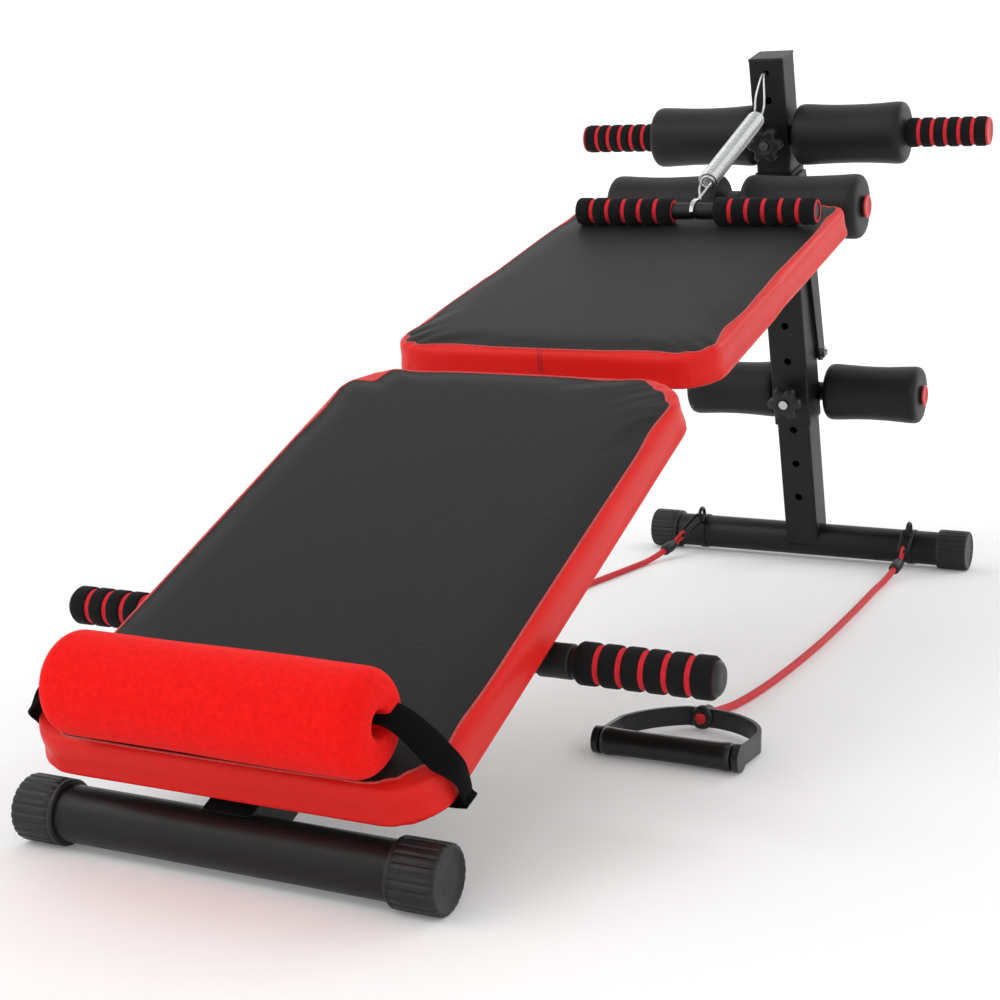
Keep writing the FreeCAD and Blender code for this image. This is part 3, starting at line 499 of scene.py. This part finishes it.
def make_ferrule(side, points, finishes):
    """Rubber sleeve that grips the doubled cord end, waisted and round at both lips."""
    first, ahead = points[0], (points[1] - points[0]).normalized()
    across = ahead.cross(Vector((0, 0, 1))).normalized()
    over = across.cross(ahead)
    rings = []
    for along, r in ((-26, 4.6), (-25.6, 5.6), (-24, 6.3), (-19, 7.3), (-14, 7.6), (-8, 7.5),
                     (-2.5, 7.4), (-0.8, 7.0), (0.2, 5.8), (0.3, 4.2)):
        ring = []
        for j in range(24):
            a = 2 * math.pi * j / 24
            around = across * math.cos(a) + over * math.sin(a)
            ring.append(first + ahead * (along / 1000) + around * (r / 1000))
        rings.append(ring)
    ferrule = loft("cord_sleeve_" + side, rings, [finishes["nylon"]])
    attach(ferrule, "cord_set_" + side)
    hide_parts("cord_ferrule_" + side)
    return ferrule


def make_knot(side, finishes):
    """The round boss of the handle and the cord's end knot inside it."""
    sign = 1 if side == "right" else -1
    body = "cord_set_" + side
    x, y, z = sign * 180.0, -880.0, 13.0
    rings = []
    for r, depth in ((5.5, -5.0), (8.6, -5.6), (10.6, -5.0), (11.4, -2.0), (11.4, 2.0), (10.0, 4.0),
                     (6.0, 4.4)):
        angles = [2 * math.pi * j / 40 for j in range(40)]
        rings.append([at(x + r * math.cos(a), y + depth, z + r * math.sin(a)) for a in angles])
    boss = loft("handle_boss_" + side, rings, [finishes["handle"]])
    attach(boss, body)
    turns = []
    for i in range(26):
        a = 2 * math.pi * i / 8.5
        r = 2.9 * math.sin(math.pi * (i + 0.5) / 26) + 0.4
        turns.append(at(x + r * math.cos(a), y - 6.0 - 2.6 * math.sin(i * 0.7) ** 2, z + r * math.sin(a)))
    knot = wire("cord_knot_" + side, turns, 0.0023, finishes["cord"])
    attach(knot, body)


# ---- foam rollers and grips --------------------------------------------
def make_roller(name, span, centre, body, finishes):
    x0, x1 = span
    sign = 1 if name.endswith("right") else -1
    length = x1 - x0
    lip = [(0.0, 12.7), (0.0, 20.0), (0.2, 30.0), (1.2, 34.2), (3.2, 36.6), (6.5, 37.9), (11.0, 38.2),
           (18.0, 37.9), (30.0, 37.1)]
    waist = [(length * 0.35, 36.3), (length * 0.5, 36.0), (length * 0.65, 36.3)]
    shape = lip + waist + [(length - x, r) for x, r in reversed(lip)]
    middle = centre.x * 1000
    profile = [(middle + sign * (x0 + x), r) for x, r in shape]
    if sign < 0:
        profile.reverse()
    roller = turned("foam_" + name, profile, centre, [finishes["roller"]], steps=56, close_ends=False)
    for v in roller.data.vertices:
        ripple = noise.noise(Vector((v.co.x * 22, v.co.y * 18, v.co.z * 18 + len(name))))
        out = Vector((0, v.co.y - centre.y, v.co.z - centre.z))
        if out.length > 0.02:
            v.co += out.normalized() * ripple * 0.0006
    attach(roller, body)
    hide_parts(body)


def grip_profile(x0, x1, radius, inner, grooves):
    """Sponge grip outline with sunk red rings; returns the profile and each band's finish."""
    profile = [(x0, inner), (x0, radius - 3.0), (x0 + 1.0, radius - 1.1), (x0 + 3.0, radius)]
    picks = [0, 0, 0]
    step = (x1 - x0) / (grooves + 1)
    for i in range(grooves):
        x = x0 + step * (i + 1)
        profile += [(x - 4.4, radius), (x - 2.9, radius - 0.5), (x - 2.2, radius - 1.7),
                    (x - 2.1, radius - 1.75), (x + 2.1, radius - 1.75), (x + 2.2, radius - 1.7),
                    (x + 2.9, radius - 0.5), (x + 4.4, radius)]
        picks += [0, 0, 0, 1, 1, 1, 0, 0]
    profile += [(x1 - 3.0, radius), (x1 - 1.0, radius - 1.1), (x1, radius - 3.0), (x1, inner)]
    picks += [0, 0, 0, 1]
    return profile, picks


def make_grip(name, x0, x1, radius, inner, centre, body, node, finishes):
    profile, picks = grip_profile(x0, x1, radius, inner, 5)
    grip = turned(name, profile, centre, [finishes["sponge"], finishes["sponge_red"]], picks,
                  close_ends=False)
    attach(grip, body)
    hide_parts(node)
    return grip


def make_all_rollers(finishes):
    for side, _ in SIDES:
        for bar, span, centre in (("hold", (26.5, 165.0), on_post(*HOLD_BAR)),
                                  ("foot", (33.5, 161.0), on_post(*FOOT_BAR)),
                                  ("knee", (14.5, 158.0), at(*KNEE_BAR))):
            name = "%s_roller_%s" % (bar, side)
            make_roller(name, span, centre, name, finishes)


def make_all_grips(finishes):
    hold = on_post(*HOLD_BAR)
    push = at(0, PUSH_BAR_Y, 0)
    low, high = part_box("push_bar")
    push.z = (low.z + high.z) / 2
    low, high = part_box("hand_bar")
    hand = (low + high) / 2
    middle = hand.x * 1000
    for side, sign in SIDES:
        a, b = sorted((HOLD_SHIFT + sign * 167.0, HOLD_SHIFT + sign * HOLD_END))
        make_grip("hold_grip_" + side, a, b, 18.0, 12.5, hold, "carriage", "hold_grips", finishes)
        a, b = sorted((sign * 192.0, sign * PUSH_END))
        make_grip("push_grip_" + side, a, b, 17.5, 12.5, push, "bench_frame", "push_grips", finishes)
        a, b = sorted((middle + sign * 25.0, middle + sign * 143.0))
        make_grip("hand_grip_" + side, a, b, 15.5, 9.5, hand, "hand_bar", "hand_grips", finishes)
        dome = [(0.0, 14.4), (0.8, 14.4), (2.4, 13.4), (4.0, 11.2), (4.6, 8.0), (4.4, 3.0)]
        make_turned_end("push_cap_" + side, sign * PUSH_END, sign, dome, push, "bench_frame",
                        "push_bar_plugs", "nylon", finishes)
        collar = [(0.0, 12.6), (0.0, 13.5), (0.7, 14.3), (1.8, 14.5), (14.0, 14.3), (27.2, 14.5),
                  (28.3, 14.3), (29.0, 13.5), (29.0, 12.6)]
        make_turned_end("push_collar_" + side, sign * 158.0, sign, collar, push, "bench_frame",
                        "push_collars", "nylon", finishes)


def make_turned_end(name, x0, sign, shape, centre, body, node, finish, finishes):
    """A small turned piece that starts at x0 and runs outwards."""
    profile = [(x0 + sign * x, r) for x, r in shape]
    if sign < 0:
        profile.reverse()
    piece = turned(name, profile, centre, [finishes[finish]], steps=40)
    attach(piece, body)
    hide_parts(node)


def make_red_plugs(finishes):
    """Red plugs at the bar ends: a thin flange with a rounded rim and a dished face."""
    for side, sign in SIDES:
        for name, middle, end, r, centre, body in (
                ("hold", HOLD_SHIFT, HOLD_END, 17.0, on_post(*HOLD_BAR), "carriage"),
                ("foot", 0.0, FOOT_END, 13.9, on_post(*FOOT_BAR), "carriage"),
                ("knee", 0.0, KNEE_END, 13.9, at(*KNEE_BAR), "bench_frame")):
            shape = [(-8.0, 10.6), (0.0, 10.6), (0.0, r - 0.6), (0.5, r), (1.7, r), (2.5, r - 0.8),
                     (2.5, r - 4.0), (1.6, r - 5.0), (1.4, 3.0)]
            make_turned_end("red_%s_plug_%s" % (name, side), middle + sign * end, sign, shape, centre, body,
                            name + "_bar_plugs", "red_plug", finishes)


def make_handle_grips(finishes):
    """Hollow moulded tube of each floor handle: waisted, with rounded lips."""
    half = [(62.0, 9.0), (62.0, 11.2), (61.2, 12.2), (59.0, 12.8), (54.0, 12.8), (50.0, 12.3), (25.0, 12.0)]
    for side, sign in SIDES:
        centre = at(0, -992, 13.3)
        middle = sign * 189.0
        profile = [(middle - x, r) for x, r in half] + [(middle + x, r) for x, r in reversed(half)]
        grip = turned("handle_tube_" + side, profile, centre, [finishes["handle"]], close_ends=False)
        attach(grip, "cord_set_" + side)
        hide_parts("handle_grip_" + side)


# ---- ribbed caps and star knobs ----------------------------------------
def make_cap(name, end_x, centre, body, node, finishes):
    """Ribbed cup on a foot tube: plain lip, twenty four ribs, bevelled end with a sunk disc."""
    sign = 1 if end_x > 0 else -1
    rings = []
    steps = 240
    for depth, r, rib in ((-40.0, 22.6, 0), (-40.0, 25.6, 0), (-39.2, 26.3, 0), (-36.6, 26.3, 0),
                          (-36.0, 25.4, 0), (-35.4, 26.4, 1), (-30.0, 26.5, 1), (-4.0, 26.5, 1),
                          (-1.6, 26.2, 1), (-0.4, 25.0, 0.6), (0.0, 23.6, 0), (0.0, 22.4, 0),
                          (-0.7, 21.9, 0), (-0.7, 10.0, 0)):
        ring = []
        for j in range(steps):
            a = -sign * 2 * math.pi * j / steps
            wave = math.cos(24 * a)
            dip = 1.15 * rib * (1 if wave < -0.35 else max(0.0, -wave) * 0.5)
            ring.append(Vector(((end_x + sign * depth) / 1000, centre.y + (r - dip) * math.cos(a) / 1000,
                                centre.z + (r - dip) * math.sin(a) / 1000)))
        rings.append(ring)
    cap = loft(name, rings, [finishes["nylon"]])
    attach(cap, body)
    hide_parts(node)


def make_star_knob(name, origin, outward, radius, node, body, finishes, depth=25.0):
    """Six lobed knob: turned stem, lobes with soft edges and a sunk centre."""
    out = outward.normalized()
    side = Vector((1, 0, 0)) if abs(out.x) < 0.5 else Vector((0, 1, 0))
    up = out.cross(side).normalized()
    side = up.cross(out).normalized()
    k = radius / 23.0
    rings = []
    for along, r, lobes in ((0.0, 9.0, 0), (0.4, 10.0, 0), (6.0, 11.5, 0), (9.0, 16.0, 0.4),
                            (10.4, 20.5, 0.9), (12.0, 22.4, 1), (20.5, 22.8, 1), (23.0, 22.0, 1),
                            (24.6, 19.8, 0.9), (25.0, 17.0, 0.6), (24.4, 11.0, 0), (24.0, 9.0, 0),
                            (23.0, 8.2, 0), (22.6, 5.0, 0)):
        ring = []
        for j in range(96):
            a = 2 * math.pi * j / 96
            dip = 6.6 * lobes * (0.5 - 0.5 * math.cos(6 * a)) ** 1.5
            rr = (r - dip) * k / 1000
            ring.append(origin + out * (along * depth / 25.0 / 1000)
                        + side * rr * math.cos(a) + up * rr * math.sin(a))
        rings.append(ring)
    knob = loft(name, rings, [finishes["nylon"]])
    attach(knob, body)
    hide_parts(node)


# ---- padded boards ------------------------------------------------------
def board_outline(board, inset, per_corner=12, per_side=26):
    """Plan of a tapered board with round corners, as points in metres."""
    w0 = board["widths"][0] / 2 - inset
    w1 = board["widths"][1] / 2 - inset
    near, far = (max(r - inset, 3.0) for r in board["radii"])
    length = board["length"] - inset
    corners = [(-w0, inset, near), (w0, inset, near), (w1, length, far), (-w1, length, far)]
    arcs = []
    for i, (x, y, r) in enumerate(corners):
        c = Vector((x, y))
        a = (Vector(corners[i - 1][:2]) - c).normalized()
        b = (Vector(corners[(i + 1) % 4][:2]) - c).normalized()
        half = math.acos(a.dot(b)) / 2
        centre = c + (a + b).normalized() * (r / math.sin(half))
        p = c + a * (r / math.tan(half))
        q = c + b * (r / math.tan(half))
        arc = []
        for j in range(per_corner + 1):
            m = p.lerp(q, j / per_corner) - centre
            arc.append(centre + m.normalized() * r)
        arcs.append(arc)
    points = []
    for i, arc in enumerate(arcs):
        points += arc
        nxt = arcs[(i + 1) % 4][0]
        points += [arc[-1].lerp(nxt, (j + 1) / per_side) for j in range(per_side - 1)]
    return [p / 1000 for p in points]


def pressed(piece, pressure, cap, held):
    """Foam pushes its cover out: a short cloth run whose movement is capped, then kept."""
    n = len(piece.data.vertices)
    rest = np.empty(n * 3)
    piece.data.vertices.foreach_get("co", rest)
    rest = rest.reshape(-1, 3)
    group = piece.vertex_groups.new(name="held")
    group.add([int(i) for i in np.nonzero(held(rest))[0]], 1.0, "REPLACE")
    cloth = piece.modifiers.new("cover", "CLOTH")
    cloth.settings.vertex_group_mass = "held"
    cloth.settings.use_pressure = True
    cloth.settings.uniform_pressure_force = pressure
    cloth.settings.effector_weights.gravity = 0.0
    cloth.settings.quality = 5
    scene = bpy.context.scene
    for f in range(1, 21):
        scene.frame_set(f)
    moved = np.empty(n * 3)
    piece.evaluated_get(bpy.context.evaluated_depsgraph_get()).data.vertices.foreach_get("co", moved)
    step = moved.reshape(-1, 3) - rest
    size = np.linalg.norm(step, axis=1, keepdims=True)
    step *= np.minimum(1.0, cap / np.maximum(size, 1e-9))
    piece.modifiers.clear()
    piece.vertex_groups.clear()
    piece.data.vertices.foreach_set("co", (rest + step).ravel())
    scene.frame_set(1)


def make_pad(name, board, node, finishes):
    """Foam under a sewn cover: flat crowned top, full sides, tucked in under the board."""
    t = PAD_THICKNESS
    rings = []
    for inset, z in ((60, -t + 3), (14, -t + 3), (11, -t + 1), (7, -t + 0.3), (3.5, -t + 2),
                     (2.2, -t + 7), (2.0, -t / 2), (2.2, -7), (2.8, -4.4), (6.0, -3.6), (12.0, -3.4),
                     (40.0, -3.4), (90.0, -3.4), (140.0, -3.4)):
        rings.append([Vector((p.x, p.y, z / 1000)) for p in board_outline(board, inset)])
    pad = loft(name, rings, [finishes["leatherette"]])
    pad.matrix_world = board_frame(board)
    remesh = pad.modifiers.new("even", "REMESH")
    remesh.mode = "VOXEL"
    remesh.voxel_size = 0.006
    baked(pad)
    pressed(pad, 4.0, 0.0042, lambda co: co[:, 2] < (-t + 4) / 1000)
    subdivided(pad, 1)
    pad.data.polygons.foreach_set("use_smooth", [True] * len(pad.data.polygons))
    pad.data.materials.clear()
    pad.data.materials.append(finishes["leatherette"])
    bpy.context.view_layer.update()
    sew_edge(name, board, pad, finishes)
    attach(pad, "bench_frame")
    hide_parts(node)
    return pad


def surface_tree(piece):
    """The piece's skin in its own axes, for laying stitches on it."""
    points = [v.co.copy() for v in piece.data.vertices]
    return BVHTree.FromPolygons(points, [tuple(f.vertices) for f in piece.data.polygons])


def sew_edge(name, board, pad, finishes):
    """Raised seam where the top cover meets the side band, lying on the pad's own skin."""
    skin = surface_tree(pad)
    line = []
    for p, q in zip(board_outline(board, -6.0, 16, 40), board_outline(board, 20.0, 16, 40)):
        start = Vector((p.x, p.y, -SEAM_DROP / 1000))
        hit = skin.ray_cast(start, (Vector((q.x, q.y, start.z)) - start).normalized())[0]
        line.append(board_frame(board) @ (hit or start))
    seam = wire(name + "_edge_seam", line, 0.0011, finishes["seam"], closed=True)
    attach(seam, "bench_frame")


def sew_band_joint(board, pad, finishes):
    """Short upright seam that closes the side band in the middle of the upper board's near end."""
    skin = surface_tree(pad)
    for shift in (-1.6, 1.6):
        line = []
        for i in range(9):
            z = -SEAM_DROP - 1 - i * 2.6
            start = Vector(((shift - 2.0) / 1000, -0.02, z / 1000))
            line.append(board_frame(board) @ (skin.ray_cast(start, Vector((0, 1, 0)))[0] or start))
        seam = wire("band_seam_%s" % ("a" if shift < 0 else "b"), line, 0.0007, finishes["seam_dark"])
        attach(seam, "bench_frame")


# ---- pillow and strap ---------------------------------------------------
def make_pillow(finishes):
    """Sponge roll with soft shoulders, a strap tunnel and a slightly flat underside."""
    profile = [(-105.5, 9.0), (-133.5, 9.5), (-137.7, 11.5), (-138.5, 15.0)]
    for a in range(0, 90, 10):
        c, s = math.cos(math.radians(a)), math.sin(math.radians(a))
        profile.append((-122.5 - 16 * c, 24 + 16 * s))
    mirror = [(-x, r) for x, r in reversed(profile)]
    profile += [(-122.5 + 245.0 * i / 12, 40.0) for i in range(13)]
    rings = []
    for x, r in profile + mirror:
        rings.append([Vector((x / 1000, r * math.cos(-2 * math.pi * j / 64) / 1000,
                              r * math.sin(-2 * math.pi * j / 64) / 1000)) for j in range(64)])
    pillow = loft("sponge_pillow", rings, [finishes["pillow"]])
    pillow.matrix_world = board_frame(LOWER) @ Matrix.Translation((0.0115, 0.026, 0.0408))
    for v in pillow.data.vertices:
        r = math.hypot(v.co.y, v.co.z)
        if r > 0.02:
            swell = noise.noise(v.co * 9.0) * 0.0011 + noise.noise(v.co * 30.0) * 0.0003
            v.co.y += v.co.y / r * swell
            v.co.z += v.co.z / r * swell
            v.co.z = max(v.co.z, -0.0394)
    subdivided(pillow, 1)
    pillow.data.polygons.foreach_set("use_smooth", [True] * len(pillow.data.polygons))
    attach(pillow, "pillow")
    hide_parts("head_pillow")


def edge_at(along):
    """Half width of the lower board, in millimetres, inside its round near corners."""
    r = LOWER["radii"][0]
    short = max(0.0, r - along)
    return LOWER["widths"][0] / 2 - (r - math.sqrt(r * r - short * short))


def make_strap(finishes):
    """Webbing band out of the pillow, over the board's edges and back under it."""
    half = LOWER["widths"][0] / 2 + 2.5
    low = -PAD_THICKNESS - 2.5
    path = [(-60, 40.6), (60, 40.6), (136, 40.6), (152, 38.5), (165, 30), (180, 13), (half, -6), (half, -24),
            (half - 1, low + 7), (half - 7, low), (80, low), (-80, low), (7 - half, low),
            (1 - half, low + 7), (-half, -24), (-half, -6), (-180, 8), (-161, 28), (-140, 39.0),
            (-118, 40.6)]
    place = board_frame(LOWER)
    rings = []
    n = len(path)
    fine = []
    for i in range(n):
        p0, p1, p2, p3 = (Vector(path[(i + k) % n]) for k in (-1, 0, 1, 2))
        for j in range(4):
            t = j / 4
            fine.append(0.5 * ((2 * p1) + (p2 - p0) * t + (2 * p0 - 5 * p1 + 4 * p2 - p3) * t * t
                               + (3 * p1 - p0 - 3 * p2 + p3) * t ** 3))
    m = len(fine)
    for i in range(m):
        tangent = (fine[(i + 1) % m] - fine[i - 1]).normalized()
        out = Vector((-tangent.y, tangent.x))
        ring = []
        for y, d in ((-12.5, -0.5), (-11.6, -0.9), (11.6, -0.9), (12.5, -0.5), (12.5, 0.5),
                     (11.6, 0.9), (-11.6, 0.9), (-12.5, 0.5)):
            q = fine[i] + out * d
            gather = max(0.0, min(1.0, (4.0 - q.y) / 26.0))
            along = 39.0 + y + gather * (8.0 - 0.4 * y)
            pull = (half - edge_at(along) - 1.6) * max(0.0, min(1.0, (abs(q.x) - 150.0) / 30.0))
            ring.append(place @ Vector(((q.x - math.copysign(pull, q.x)) / 1000, along / 1000, q.y / 1000)))
        rings.append(ring)
    rings.append(rings[0])
    strap = loft("pillow_webbing", rings, [finishes["webbing"]], close_ends=False)
    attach(strap, "pillow")
    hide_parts("pillow_strap")


# ---- pull spring --------------------------------------------------------
def make_spring(finishes):
    """Close wound extension spring with crossed end loops and a long wire link to the mast."""
    low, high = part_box("hand_bar")
    bar = (low + high) / 2
    top = on_post(-2, -53, 614)
    bottom = bar + Vector((0, 0.014, 0.022))
    down = (bottom - top).normalized()
    side = down.cross(Vector((1, 0, 0))).normalized()
    across = side.cross(down)
    length = (bottom - top).length
    first, last = 0.010, length - 0.026
    turns = int((last - first) / 0.0046)
    points = []
    for i in range(turns * 12 + 1):
        a = 2 * math.pi * i / 12
        f = i / (turns * 12)
        r = 0.0096 * min(1.0, 0.45 + min(f, 1 - f) * turns / 3)
        around = across * math.cos(a) + side * math.sin(a)
        points.append(top + down * (first + (last - first) * f) + around * r)
    coil = wire("spring_coil", points, 0.0018, finishes["zinc"], sides=8)
    hole = on_post(-2, -25.2, 659)
    inside = on_post(-2, -15.5, 657)
    link = []
    for lean in (-1, 1):
        link.append([inside, hole + Vector((lean * 0.001, 0, 0.002)),
                     hole + Vector((lean * 0.002, -0.006, -0.006)),
                     top + Vector((lean * 0.0062, 0, 0.020)), top + Vector((lean * 0.0055, 0, 0.004)),
                     top + down * 0.012 + across * lean * 0.004])
    loops = [wire("spring_link_%s" % n, p, 0.0014, finishes["zinc"]) for n, p in zip("ab", link)]
    for n, lean in (("c", -1), ("d", 1)):
        hook = [bottom - down * 0.028 + across * lean * 0.005, bottom - down * 0.016 + across * lean * 0.006,
                bar + Vector((-lean * 0.002, 0.013, 0.012)), bar + Vector((-lean * 0.0015, 0.004, 0.0135)),
                bar + Vector((-lean * 0.001, -0.010, 0.009)), bar + Vector((-lean * 0.001, -0.0125, -0.001))]
        loops.append(wire("spring_hook_" + n, hook, 0.0014, finishes["zinc"]))
    for i, piece in enumerate([coil] + loops):
        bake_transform(piece)
        if i == 0:
            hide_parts("pull_spring")


def make_finishes():
    return {
        "steel": powder_coated_steel(), "nylon": moulded_nylon(), "handle": polished_handle_plastic(),
        "roller": skinned_foam(), "sponge": open_sponge("black_sponge", "#0b0b0b", "#1c1c1c", 1.6),
        "sponge_red": open_sponge("red_sponge", "#b9161f", "#e23540", 1.6),
        "pillow": open_sponge("red_pillow_sponge", "#da0508", "#fb1a12", 1.8),
        "leatherette": two_tone_leatherette(),
        "seam": stitched_thread("red_seam_edge", "#8c1616", "#e2504c"),
        "seam_dark": stitched_thread("dark_seam_line", "#7c1212", "#a81d17"), "webbing": woven_webbing(),
        "cord": braided_cord(), "zinc": zinc_plated_steel(), "red_plug": moulded_red_plastic(),
        "plywood": sawn_plywood(),
    }


def make_floor():
    """Round floor that curves up into a wall all about the bench."""
    line = [(0.01, 0.0), (1.0, 0.0), (3.0, 0.0), (FLOOR_REACH, 0.0)]
    for degrees in range(6, 91, 6):
        a = math.radians(degrees)
        line.append((FLOOR_REACH + WALL_CURVE * math.sin(a), WALL_CURVE - WALL_CURVE * math.cos(a)))
    wall = FLOOR_REACH + WALL_CURVE
    line += [(wall, 6.0), (wall, 12.0)]
    angles = [math.pi * j / 48 for j in range(96)]
    rings = []
    for reach, height in line:
        rings.append([Vector((reach * math.cos(a), reach * math.sin(a), height)) for a in angles])
    floor = loft("studio_floor", rings, [studio_paper()], close_ends=False)


def main():
    set_camera()
    set_studio()
    make_floor()
    finishes = make_finishes()
    make_cord("right", CORD_RIGHT, finishes)
    make_cord("left", CORD_LEFT, finishes)
    dress(finishes["steel"], "main_beam", "fold_bracket", "front_foot", "board_brackets", "push_bar",
          "knee_upright", "knee_bar", "sleeve", "mast", "hold_bar", "foot_bar", "post", "rear_foot",
          "cord_clamp_left", "cord_clamp_right", "snap_hook_left", "snap_hook_right", "hand_bar")
    dress(finishes["zinc"], "pivot_bolt", "board_screws", "lock_bolt", "height_screw", "bar_screw",
          "pull_spring")
    dress(finishes["plywood"], "lower_base", "upper_base")
    dress(finishes["cord"], "cord_loop_left", "cord_loop_right")
    dress(finishes["nylon"], "mast_cap", "lock_knob")
    dress(finishes["handle"], "handle_bail_left", "handle_bail_right")
    make_all_rollers(finishes)
    make_all_grips(finishes)
    make_red_plugs(finishes)
    make_handle_grips(finishes)
    for side, sign in SIDES:
        make_cap("front_cap_" + side, sign * FRONT_FOOT_HALF, at(*FRONT_FOOT), "bench_frame",
                 "front_foot_caps", finishes)
        make_cap("rear_cap_" + side, sign * REAR_FOOT_HALF, at(*REAR_FOOT), "stand", "rear_foot_caps",
                 finishes)
    forward = on_post(0, -1, 0) - on_post(0, 0, 0)
    make_star_knob("height_star", on_post(0, -31.4, 224), forward, 23.0, "height_knob", "height_knob",
                   finishes)
    make_star_knob("bar_star", on_post(0, -28.9, HOLD_BAR[2]), forward, 23.0, "bar_knob", "bar_knob",
                   finishes)
    make_pad("lower_pad_cover", LOWER, "lower_pad", finishes)
    upper = make_pad("upper_pad_cover", UPPER, "upper_pad", finishes)
    sew_band_joint(UPPER, upper, finishes)
    make_pillow(finishes)
    make_strap(finishes)
    make_spring(finishes)


main()
